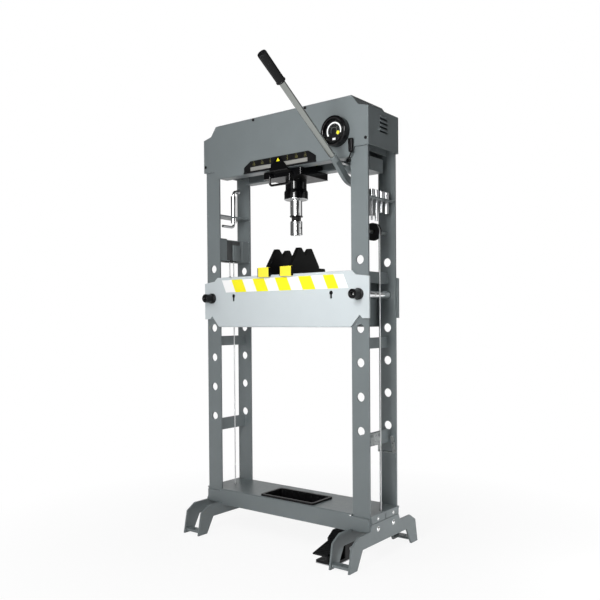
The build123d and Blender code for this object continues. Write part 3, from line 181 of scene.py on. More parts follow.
def coat(
    name, paint, rough, metal=0.0, grain=900.0, depth=0.0004, drift=0.08, wear=0.0, specular=0.5,
    stretch=(1.0, 1.0, 1.0),
):
    """A finish with drifting colour, uneven gloss, a grain that may run one way, and worn edges."""
    found = bpy.data.materials.get(name)
    if found:
        return found
    material, shader, add, link = finish(name, metal, specular)
    place = add("TexCoord").outputs["Object"]
    cloud = add("TexNoise", Scale=5.0, Detail=5.0, Roughness=0.6)
    link(place, cloud.inputs["Vector"])
    tone = add("ValToRGB")
    dark = [channel * (1.0 - drift) for channel in paint]
    light = [min(1.0, channel * (1.0 + drift)) for channel in paint]
    ramp(tone, ((0.3, dark), (0.7, light)))
    link(cloud.outputs["Fac"], tone.inputs["Fac"])
    surface = tone.outputs["Color"]
    if wear:
        rounded = add("Bevel", Radius=EDGE_WEAR)
        flat = add("NewGeometry")
        turn = add("VectorMath", "DOT_PRODUCT")
        link(rounded.outputs["Normal"], turn.inputs[0])
        link(flat.outputs["Normal"], turn.inputs[1])
        patchy = add("TexNoise", Scale=60.0, Detail=4.0)
        link(place, patchy.inputs["Vector"])
        bare = add("MapRange", From_Min=0.97, From_Max=0.82, To_Min=0.0, To_Max=wear)
        link(turn.outputs["Value"], bare.inputs["Value"])
        broken = add("Math", "MULTIPLY")
        link(bare.outputs["Result"], broken.inputs[0])
        link(patchy.outputs["Fac"], broken.inputs[1])
        worn = add("MixRGB")
        rubbed = [min(1.0, channel * 1.5 + 0.03) for channel in paint]
        worn.inputs["Color2"].default_value = (*rubbed, 1.0)
        link(broken.outputs["Value"], worn.inputs["Fac"])
        link(surface, worn.inputs["Color1"])
        surface = worn.outputs["Color"]
    link(surface, shader.inputs["Base Color"])
    along = add("Mapping", Scale=stretch)
    link(place, along.inputs["Vector"])
    gloss = add("TexNoise", Scale=38.0, Detail=3.0)
    link(along.outputs["Vector"], gloss.inputs["Vector"])
    uneven(add, link, shader, gloss.outputs["Fac"], max(0.02, rough * 0.8), min(1.0, rough * 1.2))
    fine = add("TexNoise", Scale=grain, Detail=2.0)
    link(along.outputs["Vector"], fine.inputs["Vector"])
    relief(add, link, shader, fine.outputs["Fac"], 0.35, depth)
    return material


def spangled_zinc():
    """Galvanised steel, whose crystals differ in tone and gloss."""
    found = bpy.data.materials.get("spangled_zinc")
    if found:
        return found
    material, shader, add, link = finish("spangled_zinc", metal=0.9)
    place = add("TexCoord").outputs["Object"]
    crystal = add("TexVoronoi", Scale=140.0)
    link(place, crystal.inputs["Vector"])
    tone = add("ValToRGB")
    zinc = colours().zinc
    ramp(tone, ((0.2, [c * 0.78 for c in zinc]), (0.8, [min(1.0, c * 1.25) for c in zinc])))
    link(crystal.outputs["Color"], tone.inputs["Fac"])
    link(tone.outputs["Color"], shader.inputs["Base Color"])
    uneven(add, link, shader, crystal.outputs["Color"], 0.24, 0.42)
    relief(add, link, shader, crystal.outputs["Distance"], 0.2, 0.0002)
    return material


def stranded_wire():
    """Galvanised wire rope, with strands that wind round it and grooves between them painted darker as
    painted shade.
    """
    found = bpy.data.materials.get("stranded_wire")
    if found:
        return found
    material, shader, add, link = finish("stranded_wire", metal=0.25)
    place = add("TexCoord").outputs["Object"]
    lay = add("Mapping", Rotation=(0.0, radians(28.0), radians(20.0)))
    link(place, lay.inputs["Vector"])
    strand = add("TexWave", Scale=130.0, Distortion=0.4, Detail=2.0)
    strand.bands_direction = "Z"
    link(lay.outputs["Vector"], strand.inputs["Vector"])
    tone = add("ValToRGB")
    # The grooves between strands get a darker tone: painted shade in the creases.
    groove_shade, crown = (0.55, 0.56, 0.57), (0.92, 0.93, 0.93)
    ramp(tone, ((0.1, groove_shade), (0.6, crown)))
    link(strand.outputs["Fac"], tone.inputs["Fac"])
    link(tone.outputs["Color"], shader.inputs["Base Color"])
    uneven(add, link, shader, strand.outputs["Fac"], 0.45, 0.28)
    relief(add, link, shader, strand.outputs["Fac"], 0.6, 0.0008)
    return material


def gauge_glass():
    """Clear glass for the gauge."""
    material, shader, add, link = finish("gauge_glass")
    shader.inputs["Base Color"].default_value = (0.97, 0.98, 0.98, 1.0)
    shader.inputs["Roughness"].default_value = 0.03
    shader.inputs["Transmission Weight"].default_value = 1.0
    shader.inputs["IOR"].default_value = 1.05
    shader.inputs["Alpha"].default_value = 0.25
    smear = add("TexNoise", Scale=90.0)
    link(add("TexCoord").outputs["Object"], smear.inputs["Vector"])
    relief(add, link, shader, smear.outputs["Fac"], 0.05, 0.0001)
    return material


def frame_coat():
    """Mid-grey powder coat."""
    return coat("frame_coat", colours().frame_paint, 0.40, drift=0.05, wear=0.5)


def recess_shade_coat():
    """Dark grey coat for the painted shade in the winch's recess."""
    return coat("recess_shade_coat", colours().recess_shade_paint, 0.45, drift=0.06, wear=0.3)


def table_coat():
    """Pale grey powder coat."""
    return coat("table_coat", colours().table_paint, 0.42, drift=0.02, wear=0.25)


def gloss_black():
    """Gloss black paint."""
    return coat("gloss_black", colours().black_paint, 0.07, depth=0.000004, wear=0.15, specular=0.28)


def block_coat():
    """Satin black paint."""
    return coat("block_coat", colours().block_paint, 0.38, grain=500.0, wear=0.2, specular=0.2)


def moulded_black():
    """Black moulded plastic."""
    return coat("moulded_black", colours().black_plastic, 0.42, grain=700.0, depth=0.0006, specular=0.2)


def bright_metal():
    """Chromed steel, drawn along its length."""
    return coat(
        "bright_metal", colours().bright_steel, 0.06, metal=1.0, depth=0.000004, drift=0.02,
        stretch=(1.0, 1.0, 0.08),
    )


def drawn_metal():
    """Drawn steel tube with a dull shine."""
    return coat(
        "drawn_metal", colours().tube_steel, 0.10, metal=1.0, grain=1200.0, depth=0.00003, drift=0.06,
        stretch=(1.0, 0.1, 0.1),
    )


def scale_strip():
    """Dull anodised strip."""
    return coat("scale_strip", colours().scale_grey, 0.5, drift=0.05, grain=1500.0, stretch=(0.05, 1.0, 1.0))


def faded_print():
    """Thin yellow print."""
    return coat("faded_print", colours().faded_yellow, 0.5, drift=0.1, depth=0.0001)


def grey_print():
    """Grey print on the gauge."""
    return coat("grey_print", colours().print_grey, 0.5, drift=0.05, depth=0.0001)


def plain_metal():
    """Turned steel."""
    return coat(
        "plain_metal", colours().plain_steel, 0.30, metal=1.0, grain=1500.0, depth=0.0002,
        stretch=(0.1, 1.0, 1.0),
    )


def yellow_plastic():
    """Yellow moulded plastic."""
    return coat("yellow_plastic", colours().cap_yellow, 0.44, drift=0.04, grain=600.0)


def yellow_paint():
    """Lemon yellow paint."""
    return coat("yellow_paint", colours().stripe_yellow, 0.4, drift=0.03)


def white_paint():
    """White paint."""
    return coat("white_paint", colours().stripe_white, 0.4, drift=0.02)


def dial_print():
    """White print on the gauge."""
    return coat("dial_print", colours().dial_white, 0.5, drift=0.03, depth=0.0001)


# Modelling helpers


def let_go():
    """Leaves edit mode and deselects everything."""
    if bpy.context.object and bpy.context.object.mode != "OBJECT":
        bpy.ops.object.mode_set(mode="OBJECT")
    bpy.ops.object.select_all(action="DESELECT")


def edit(piece):
    """Opens one piece in edit mode with nothing selected."""
    let_go()
    bpy.context.view_layer.objects.active = piece
    piece.select_set(True)
    bpy.ops.object.mode_set(mode="EDIT")
    bpy.ops.mesh.select_mode(type="FACE")
    bpy.ops.mesh.select_all(action="DESELECT")


def pick_faces(piece, test):
    """Selects the faces of the open piece whose centre and normal pass a test."""
    mesh = bmesh.from_edit_mesh(piece.data)
    for face in mesh.faces:
        face.select = bool(test(face.calc_center_median(), face.normal))
    mesh.select_flush_mode()
    bmesh.update_edit_mesh(piece.data)


def reshape(piece, place):
    """Moves every point of the open piece to where a function puts it."""
    mesh = bmesh.from_edit_mesh(piece.data)
    for point in mesh.verts:
        point.co = place(point.co)
    bmesh.update_edit_mesh(piece.data)


def disc(name, radius, depth, sides=32):
    """A cylinder about Z, its base on the origin."""
    let_go()
    middle = (0, 0, depth / 2)
    bpy.ops.mesh.primitive_cylinder_add(vertices=sides, radius=radius, depth=depth, location=middle)
    piece = bpy.context.object
    piece.name = name
    bpy.ops.object.transform_apply(location=True, rotation=True, scale=True)
    return piece


def slab(name, low, high):
    """A box between two corners."""
    let_go()
    low, high = Vector(low), Vector(high)
    bpy.ops.mesh.primitive_cube_add(size=1.0, location=(low + high) / 2)
    piece = bpy.context.object
    piece.name = name
    piece.scale = high - low
    bpy.ops.object.transform_apply(location=True, rotation=True, scale=True)
    return piece


def turned(name, outline, steps=48, sweep=2 * pi):
    """An outline of (radius, height) points turned about Z."""
    let_go()
    bpy.ops.mesh.primitive_circle_add(vertices=len(outline), radius=1.0, fill_type="NOTHING")
    piece = bpy.context.object
    piece.name = name
    edit(piece)
    mesh = bmesh.from_edit_mesh(piece.data)
    mesh.verts.ensure_lookup_table()
    for point, (radius, height) in zip(mesh.verts, outline):
        point.co = (radius, 0.0, height)
    bmesh.update_edit_mesh(piece.data)
    bpy.ops.mesh.select_mode(type="VERT")
    bpy.ops.mesh.select_all(action="SELECT")
    if sweep < 2 * pi:
        bpy.ops.mesh.edge_face_add()
    bpy.ops.mesh.spin(steps=steps, angle=sweep, center=(0, 0, 0), axis=(0, 0, 1))
    bpy.ops.mesh.select_all(action="SELECT")
    bpy.ops.mesh.remove_doubles(threshold=0.00001)
    bpy.ops.mesh.dissolve_degenerate(threshold=0.000001)
    bpy.ops.mesh.select_all(action="SELECT")
    bpy.ops.mesh.normals_make_consistent(inside=False)
    bpy.ops.object.mode_set(mode="OBJECT")
    bpy.ops.object.shade_smooth_by_angle(angle=radians(35.0))
    return piece


def soften(piece, width, steps=2, angle=30.0):
    """Rounds the hard edges with a bevel and shades by angle."""
    let_go()
    bpy.context.view_layer.objects.active = piece
    piece.select_set(True)
    bevel = piece.modifiers.new("edge", "BEVEL")
    bevel.width = width
    bevel.segments = steps
    bevel.limit_method = "ANGLE"
    bevel.angle_limit = radians(angle)
    bpy.ops.object.modifier_apply(modifier="edge")
    bpy.ops.object.shade_smooth_by_angle(angle=radians(35.0))
    return piece


def cut(piece, cutter):
    """Takes the shape of a cutter out of a piece and removes the cutter."""
    let_go()
    bpy.context.view_layer.objects.active = piece
    piece.select_set(True)
    hole = piece.modifiers.new("hole", "BOOLEAN")
    hole.object = cutter
    hole.operation = "DIFFERENCE"
    bpy.ops.object.modifier_apply(modifier="hole")
    bpy.data.objects.remove(cutter)
    return piece


def aim(point, along):
    """A matrix that sends the origin to a point and +Z along a direction."""
    turn = Vector((0.0, 0.0, 1.0)).rotation_difference(Vector(along)).to_matrix().to_4x4()
    return Matrix.Translation(Vector(point)) @ turn


def middle_of(node):
    """The centre of a node's box."""
    low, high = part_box(node)
    return Vector(((low.x + high.x) / 2, (low.y + high.y) / 2, (low.z + high.z) / 2))


def send(piece, matrix):
    """Moves a piece's own mesh by a matrix."""
    piece.data.transform(matrix)
    piece.data.update()
    return piece


def join(name, made):
    """Joins finished pieces into one."""
    let_go()
    for piece in made:
        piece.select_set(True)
    bpy.context.view_layer.objects.active = made[0]
    if len(made) > 1:
        bpy.ops.object.join()
    made[0].name = name
    return made[0]


def copies(piece, places):
    """Copies a piece to each matrix, joins the copies and removes the pattern."""
    made = []
    for place in places:
        twin = piece.copy()
        twin.data = piece.data.copy()
        bpy.context.collection.objects.link(twin)
        made.append(send(twin, place))
    name = piece.name
    bpy.data.objects.remove(piece)
    return join(name, made)


def settle(piece, body, material):
    """Gives a finished piece its material and the body it moves with."""
    piece.data.materials.clear()
    piece.data.materials.append(material)
    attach(piece, body)
    return piece


def figures(name, text, height, centre, thick=0.0006):
    """Raised figures that face -Y, as a mesh."""
    let_go()
    bpy.ops.object.text_add(location=(0, 0, 0))
    piece = bpy.context.object
    piece.data.body = text
    piece.data.align_x = "CENTER"
    piece.data.align_y = "CENTER"
    piece.data.size = height
    piece.data.extrude = thick / 2
    bpy.ops.object.convert(target="MESH")
    piece = bpy.context.object
    piece.name = name
    stand = Matrix.Translation(Vector(centre)) @ Matrix.Rotation(pi / 2, 4, "X")
    return send(piece, stand)


def socket_head(name, radius, depth):
    """A button-head screw about Z with a round socket."""
    piece = disc(name, radius, depth, 24)
    edit(piece)
    pick_faces(piece, lambda centre, normal: normal.z > 0.9)
    bpy.ops.mesh.inset(thickness=radius * 0.28)
    bpy.ops.transform.translate(value=(0, 0, depth * 0.22))
    bpy.ops.mesh.inset(thickness=radius * 0.30)
    bpy.ops.mesh.extrude_region_move(TRANSFORM_OT_translate={"value": (0, 0, -depth * 0.6)})
    bpy.ops.object.mode_set(mode="OBJECT")
    return soften(piece, radius * 0.06)


def dome_head(name, radius):
    """A domed bolt head about Z on its washer."""
    return turned(
        name,
        (
            (0.0, -0.0002), (radius * 1.2, -0.0002), (radius * 1.2, radius * 0.10),
            (radius * 0.98, radius * 0.14), (radius * 0.95, radius * 0.32), (radius * 0.78, radius * 0.52),
            (radius * 0.42, radius * 0.66), (0.0, radius * 0.70),
        ),
        32,
    )


# Pieces


class PRESS_OT_finishes(bpy.types.Operator):
    """Put a finish on every node of the press"""

    bl_idname = "press.finishes"
    bl_label = "Finishes"

    def execute(self, context):
        by_slot = {
            "frame_grey": frame_coat(),
            "table_grey": table_coat(),
            "black_gloss": gloss_black(),
            "black_plain": moulded_black(),
            "bright_steel": bright_metal(),
            "plain_steel": plain_metal(),
            "zinc": spangled_zinc(),
            "rope_steel": stranded_wire(),
            "yellow": yellow_plastic(),
            "dial_white": moulded_black(),
            "needle_black": moulded_black(),
            "lens": gauge_glass(),
        }
        own = {
            "v_block_1": block_coat(),
            "v_block_2": block_coat(),
            "gauge_case": gloss_black(),
            "lever_tube": drawn_metal(),
            "punch_set": plain_metal(),
            "pulley_axles": spangled_zinc(),
        }
        for part in frame["record"]["subparts"]:
            node = frame["nodes"][part["node"]]
            material = own.get(part["node"], by_slot[part["material_slot"]])
            if not node.material_slots:
                raise RuntimeError("no material slot on " + part["node"])
            for place in node.material_slots:
                place.material = material
        return {"FINISHED"}


class PRESS_OT_screws(bpy.types.Operator):
    """Screws of the head cover, the base and the hook, and bolts of the feet"""

    bl_idname = "press.screws"
    bl_label = "Screws"

    def execute(self, context):
        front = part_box("head_front_plate")[0].y
        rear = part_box("head_rear_plate")[1].y
        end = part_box("base")[1].x
        top_x, top_z = 0.143, 1.824
        side_x, side_z = 0.437, 1.656
        cover = []
        for y, way in ((front, -1.0), (rear, 1.0)):
            for x, z in ((-top_x, top_z), (top_x, top_z), (-side_x, side_z), (side_x, side_z)):
                cover.append(aim((x, y, z), (0, way, 0)))
        radius = sizes().screw_radius
        screws = copies(socket_head("cover_screws", radius, radius * 0.45), cover)
        settle(screws, "frame", moulded_black())
        tab_z, bolt_z, half_apart = 0.166, 0.125, 0.058
        tabs, bolts = [], []
        for side in (-1.0, 1.0):
            for y in (-half_apart, half_apart):
                tabs.append(aim((side * end, y, tab_z), (side, 0, 0)))
                bolts.append(aim((side * end, y, bolt_z), (side, 0, 0)))
        screws = copies(dome_head("base_screws", radius * 0.9), tabs)
        settle(screws, "frame", bright_metal())
        screws = copies(dome_head("foot_bolts", sizes().bolt_radius), bolts)
        settle(screws, "frame", bright_metal())
        corner_x, corner_z, corner_radius = 0.3535, 0.1765, 0.0036
        corner = aim((corner_x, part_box("base")[0].y, corner_z), (0, -1, 0))
        screw = send(dome_head("corner_screw", corner_radius), corner)
        settle(screw, "frame", bright_metal())
        hook_plate, hook_y, hook_z, hook_radius = 0.003, (-0.032, 0.024), 0.482, 0.006
        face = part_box("hook_bracket")[0].x + hook_plate
        hook = [aim((face, y, hook_z), (1, 0, 0)) for y in hook_y]
        screws = copies(socket_head("hook_screws", hook_radius, hook_radius / 2), hook)
        settle(screws, "frame", spangled_zinc())
        return {"FINISHED"}


class PRESS_OT_welds(bpy.types.Operator):
    """Weld beads of the columns' stays and the feet's cross bars"""

    bl_idname = "press.welds"
    bl_label = "Welds"

    def bead(self, span):
        """A rippled bead about Z, half above and half below the origin."""
        radius = sizes().weld_radius
        pitch = radius * 1.3
        ripples = max(3, int(span / pitch))
        outline = [(0.0, -span / 2)]
        for step in range(ripples):
            foot = -span / 2 + span * step / ripples
            outline.append((radius * 0.80, foot + span * 0.15 / ripples))
            outline.append((radius, foot + span * 0.5 / ripples))
            outline.append((radius * 0.86, foot + span * 0.85 / ripples))
        outline.append((0.0, span / 2))
        return turned("weld_beads", outline, 8)

    def execute(self, context):
        inner, column, half_plate = 0.098, 0.401, 0.004
        stay_middles = (1.655, 1.121, 0.857, 0.470)
        stay_talls = (0.060, 0.046, 0.044, 0.054)
        bar_x, bar_y, bar_z, bar_bead = (0.361, 0.441), 0.235, 0.020, 0.034
        made = []
        for height, tall in zip(stay_middles, stay_talls):
            spots = []
            for side in (-1.0, 1.0):
                for y in (-inner, inner):
                    for half in (-half_plate, half_plate):
                        spots.append(Matrix.Translation((side * column + half, y, height)))
            made.append(copies(self.bead(tall * 0.92), spots))
        bars = []
        for side in (-1.0, 1.0):
            for y in (-bar_y, bar_y):
                bars += [aim((side * x, y, bar_z), (0, 1, 0)) for x in bar_x]
        made.append(copies(self.bead(bar_bead), bars))
        settle(join("weld_beads", made), "frame", frame_coat())
        return {"FINISHED"}


class PRESS_OT_louvres(bpy.types.Operator):
    """Pressed hoods over the louvres at the ends of the head"""

    bl_idname = "press.louvres"
    bl_label = "Louvre hoods"

    def execute(self, context):
        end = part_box("head_cover")[1].x
        wide, out, sunk = 0.062, 0.0055, 0.0002
        count, lowest, pitch = 4, 1.7005, 0.017
        hood = disc("louvre_hoods", out, wide, 24)
        send(hood, Matrix.Rotation(pi / 2, 4, "X") @ Matrix.Translation((0, 0, -wide / 2)))
        for plane in ((1, 0, 0), (0, 0, 1)):
            edit(hood)
            bpy.ops.mesh.select_all(action="SELECT")
            bpy.ops.mesh.bisect(plane_co=(0, 0, 0), plane_no=plane, use_fill=True, clear_inner=True)
            bpy.ops.object.mode_set(mode="OBJECT")
        soften(hood, 0.0012)
        spots = []
        for step in range(count):
            place = Matrix.Translation((end - sunk, 0, lowest + pitch * step))
            spots += [place, Matrix.Rotation(pi, 4, "Z") @ place]
        settle(copies(hood, spots), "frame", frame_coat())
        return {"FINISHED"}


class PRESS_OT_stripes(bpy.types.Operator):
    """Slanted stripes along the table's front"""

    bl_idname = "press.stripes"
    bl_label = "Table stripes"

    def bar(self, name, left, right, thick):
        """A slanted bar on the table's front."""
        size = sizes()
        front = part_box("table_front_beam")[0].y
        piece = slab(name, (left, front - thick, size.stripe_low), (right, front, size.stripe_high))
        edit(piece)
        pick_faces(piece, lambda centre, normal: normal.z < -0.9)
        bpy.ops.transform.translate(value=(size.stripe_slant, 0, 0))
        bpy.ops.object.mode_set(mode="OBJECT")
        return soften(piece, 0.0001, 1)

    def execute(self, context):
        size = sizes()
        ground_left, ground_right, ground_thick = -0.340, 0.328, 0.0004
        ground = self.bar("stripe_ground", ground_left, ground_right, ground_thick)
        settle(ground, "frame", white_paint())
        first, full, last, thick = -0.281, 0.066, 0.054, 0.0007
        bars = []
        for index in range(size.stripe_count):
            start = first + size.stripe_pitch * index
            wide = last if index == size.stripe_count - 1 else full
            bars.append(self.bar("stripe", start, start + wide, thick))
        settle(join("stripe_bars", bars), "frame", yellow_paint())
        return {"FINISHED"}


class PRESS_OT_block_caps(bpy.types.Operator):
    """Black block showing left of the V-blocks' yellow caps, and black sheets of painted shade on their right
    sides
    """

    bl_idname = "press.block_caps"
    bl_label = "Block caps"

    def execute(self, context):
        low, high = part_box("v_block_caps")
        block_x, half_cap, left_out, shade_out = (-0.080, 0.043), 0.0295, 0.0335, 0.0308
        setback, edge = 0.0015, 0.001
        sides = []
        for x in block_x:
            # The left sheet is the black block behind the cap; the right sheet is painted shade on the cap's
            # side.
            for left, right in ((x - left_out, x - half_cap), (x + half_cap, x + shade_out)):
                near, far = (left, low.y + setback, low.z + edge), (right, high.y, high.z - edge)
                sides.append(soften(slab("side", near, far), 0.0006))
        settle(join("cap_block_and_shade_sides", sides), "frame", moulded_black())
        return {"FINISHED"}


class PRESS_OT_keyholes(bpy.types.Operator):
    """Black plugs in the table's keyholes, as painted shade of the hollow behind them"""

    bl_idname = "press.keyholes"
    bl_label = "Keyholes"

    def execute(self, context):
        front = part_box("table_front_beam")[0].y
        hole_x, hole_z, radius, back, thick = 0.268, 1.060, 0.0089, front + 0.0035, 0.002
        half_slot, slot_low, slot_high = 0.0048, 1.0375, 1.056
        slot_front, slot_back = front + 0.0016, front + 0.0034
        shade_plugs = []
        # Painted shade: black plugs stand in for the shade inside each keyhole.
        for x in (-hole_x, hole_x):
            shade_plugs.append(send(disc("shade_plug", radius, thick, 28), aim((x, back, hole_z), (0, -1, 0))))
            low, high = (x - half_slot, slot_front, slot_low), (x + half_slot, slot_back, slot_high)
            shade_plugs.append(slab("shade_plug", low, high))
        settle(join("keyhole_shade_plugs", shade_plugs), "frame", moulded_black())
        return {"FINISHED"}


class PRESS_OT_scale(bpy.types.Operator):
    """Strips, ticks and figures on the head's scale, a black strip of painted shade below them, and the
    carriage's arrow
    """

    bl_idname = "press.scale"
    bl_label = "Head scale"

    def execute(self, context):
        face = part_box("scale_plate")[0].y
        strip_low, strip_high, strip_thick = 1.6025, 1.6190, 0.0012
        middle, pitch = 0.002, 0.047
        strip_spans = ((-0.158, -0.043), (0.027, 0.155))
        strips = []
        for left, right in strip_spans:
            strip = slab("strip", (left, face - strip_thick, strip_low), (right, face, strip_high))
            strips.append(soften(strip, 0.0004))
        settle(join("scale_strips", strips), "frame", scale_strip())
        # Painted shade: a black strip at the foot of the scale stands in for the shaded hollow of the head
        # under its front rail.
        underside_left, underside_right, underside_thick = -0.2005, 0.1985, 0.003
        underside_low, underside_high = 1.5945, 1.6013
        corner = (underside_right, face + underside_thick, underside_high)
        underside_shade = slab("scale_underside_shade", (underside_left, face, underside_low), corner)
        settle(soften(underside_shade, 0.0006), "frame", moulded_black())
        half_tick, tick_low, tick_high, tick_front = 0.0008, 1.6385, 1.6435, face - 0.0007
        figure_tall, figure_y, figure_z = 0.016, face - 0.0002, 1.6295
        ticks = []
        for side in (-1.0, 1.0):
            for step in range(1, 4):
                x = side * pitch * step + middle
                near, far = (x - half_tick, tick_front, tick_low), (x + half_tick, face, tick_high)
                ticks.append(slab("tick", near, far))
                ticks.append(figures("figure", str(5 * step), figure_tall, (x, figure_y, figure_z)))
        settle(join("scale_figures", ticks), "frame", faded_print())
        arrow_radius, arrow_thick, arrow_z, tall_share = 0.0105, 0.0008, 1.6285, 0.95
        arrow = soften(disc("pointer_arrow", arrow_radius, arrow_thick, 3), 0.0004)
        edit(arrow)
        reshape(arrow, lambda point: Vector((point.x, point.y * tall_share, point.z)))
        bpy.ops.object.mode_set(mode="OBJECT")
        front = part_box("carriage_pointer")[0].y
        send(arrow, Matrix.Translation((middle, front, arrow_z)) @ Matrix.Rotation(pi / 2, 4, "X"))
        settle(arrow, "carriage", yellow_paint())
        return {"FINISHED"}


class PRESS_OT_gauge(bpy.types.Operator):
    """Printed arc, ring, ticks, figures, label and limit spot on the gauge's dial, and its rim"""

    bl_idname = "press.gauge"
    bl_label = "Gauge"

    def execute(self, context):
        dial = middle_of("gauge_dial")
        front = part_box("gauge_case")[0].y
        recess, thick = 0.007, 0.0003
        middle = Matrix.Translation((dial.x, front + recess, dial.z))
        upright = middle @ Matrix.Rotation(pi / 2, 4, "X")
        rings = (
            ("gauge_arc", 0.0292, 0.0350, radians(232.0), radians(214.0), dial_print()),
            ("gauge_ring", 0.0140, 0.0150, radians(290.0), radians(235.0), grey_print()),
        )
        for name, inside, outside, sweep, start, print_colour in rings:
            arc = turned(name, ((inside, 0), (outside, 0), (outside, thick), (inside, thick)), 64, sweep)
            send(arc, upright @ Matrix.Rotation(start, 4, "Z"))
            settle(arc, "frame", print_colour)
        zero, degrees_per_tick, degrees_per_figure = -135.0, 18.0, 90.0
        half_tick, tick_foot, long_tick, short_tick = 0.0005, 0.0225, 0.0055, 0.0035
        figure_tall, figure_radius = 0.0055, 0.0185
        ticks = []
        for step in range(16):
            turn = Matrix.Rotation(radians(zero + degrees_per_tick * step), 4, "Y")
            tall = long_tick if step % 3 == 0 else short_tick
            piece = slab("tick", (-half_tick, -thick, tick_foot), (half_tick, 0.0, tick_foot + tall))
            ticks.append(send(piece, middle @ turn))
        for step in range(4):
            angle = radians(zero + degrees_per_figure * step)
            out = Vector((sin(angle), 0, cos(angle))) * figure_radius
            spot = middle.translation + out - Vector((0, thick / 2, 0))
            ticks.append(figures("figure", str(10 * step), figure_tall, spot, thick))
        settle(join("gauge_ticks", ticks), "frame", grey_print())
        half_label, label_low, label_high = 0.0075, -0.0355, -0.0275
        label = slab("gauge_label", (-half_label, -thick, label_low), (half_label, 0.0, label_high))
        send(soften(label, 0.0001, 1), middle)
        settle(label, "frame", dial_print())
        limit_x, limit_z, limit_radius = 0.0190, -0.0085, 0.0074
        limit = soften(disc("gauge_limit", limit_radius, thick, 28), 0.0001, 1)
        send(limit, middle @ aim((limit_x, 0.0, limit_z), (0, -1, 0)))
        settle(limit, "frame", yellow_paint())
        rim = turned(
            "gauge_rim",
            (
                (0.0475, -0.001), (0.0475, 0.0012), (0.0500, 0.0034), (0.0535, 0.0040), (0.0570, 0.0030),
                (0.0592, 0.0006), (0.0592, -0.001),
            ),
            64,
        )
        send(rim, aim((dial.x, front, dial.z), (0, -1, 0)))
        settle(rim, "frame", gloss_black())
        return {"FINISHED"}


class PRESS_OT_cylinder(bpy.types.Operator):
    """Rim and sleeve of the gland, and the foot plate of the carriage's pan"""

    bl_idname = "press.cylinder"
    bl_label = "Cylinder rings"

    def execute(self, context):
        low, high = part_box("gland")
        middle = middle_of("gland")
        axis = Matrix.Translation((middle.x, middle.y, 0))
        wide = (high.x - low.x) / 2
        rim = turned(
            "gland_rim",
            (
                (wide - 0.006, -0.0006), (wide - 0.001, -0.0006), (wide + 0.0004, 0.0006),
                (wide + 0.0004, 0.002), (wide - 0.002, 0.002), (wide - 0.006, 0.0002),
            ),
        )
        send(rim, axis @ Matrix.Translation((0, 0, low.z)))
        settle(rim, "carriage", plain_metal())
        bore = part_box("cylinder")[1].x - middle.x
        foot, shoulder, neck, top = 1.4968, 1.5080, 1.5165, 1.5190
        sleeve = turned(
            "gland_sleeve",
            (
                (bore - 0.001, foot), (wide + 0.0003, foot), (wide + 0.0003, shoulder),
                (bore + 0.0006, neck), (bore + 0.0006, top), (bore - 0.001, top),
            ),
        )
        settle(send(sleeve, axis), "carriage", gloss_black())
        low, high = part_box("carriage_pointer")
        edge, half_y, clearance, deep = 0.001, 0.097, 0.0005, 0.02
        pan = slab("pan_foot", (low.x + edge, -half_y, low.z - edge), (high.x - edge, half_y, low.z + edge))
        hole = disc("cutter", bore + clearance, deep, 48)
        cut(pan, send(hole, axis @ Matrix.Translation((0, 0, low.z - deep / 2))))
        settle(pan, "carriage", block_coat())
        return {"FINISHED"}


class PRESS_OT_ram(bpy.types.Operator):
    """Black cover on the ram's stop, and the rings and set screw of its nose"""

    bl_idname = "press.ram"
    bl_label = "Ram nose"

    def execute(self, context):
        low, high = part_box("ram_nose")
        middle = middle_of("ram_nose")
        axis = Matrix.Translation((middle.x, middle.y, 0))
        radius = (high.x - low.x) / 2
        cover = turned(
            "ram_stop_cover",
            (
                (0.0168, 1.3832), (0.0195, 1.3832), (0.0205, 1.386), (0.0205, 1.394), (0.0225, 1.3985),
                (0.0288, 1.3995), (0.0290, 1.4030), (0.0285, 1.4045), (0.0264, 1.4047), (0.0264, 1.3996),
                (0.0168, 1.3990),
            ),
        )
        settle(send(cover, axis), "ram", gloss_black())
        ring = turned(
            "nose_rings",
            (
                (radius - 0.0004, -0.0018), (radius + 0.0006, -0.0012), (radius + 0.0009, 0.0),
                (radius + 0.0006, 0.0012), (radius - 0.0004, 0.0018),
            ),
        )
        heights = (low.z + 0.008, high.z - 0.011)
        rings = copies(ring, [axis @ Matrix.Translation((0, 0, z)) for z in heights])
        settle(rings, "ram", plain_metal())
        screw_radius, screw_depth, sunk = 0.0042, 0.0016, 0.0004
        screw = socket_head("nose_screw", screw_radius, screw_depth)
        send(screw, aim((high.x - sunk, middle.y, middle.z), (1, 0, 0)))
        settle(screw, "ram", moulded_black())
        return {"FINISHED"}


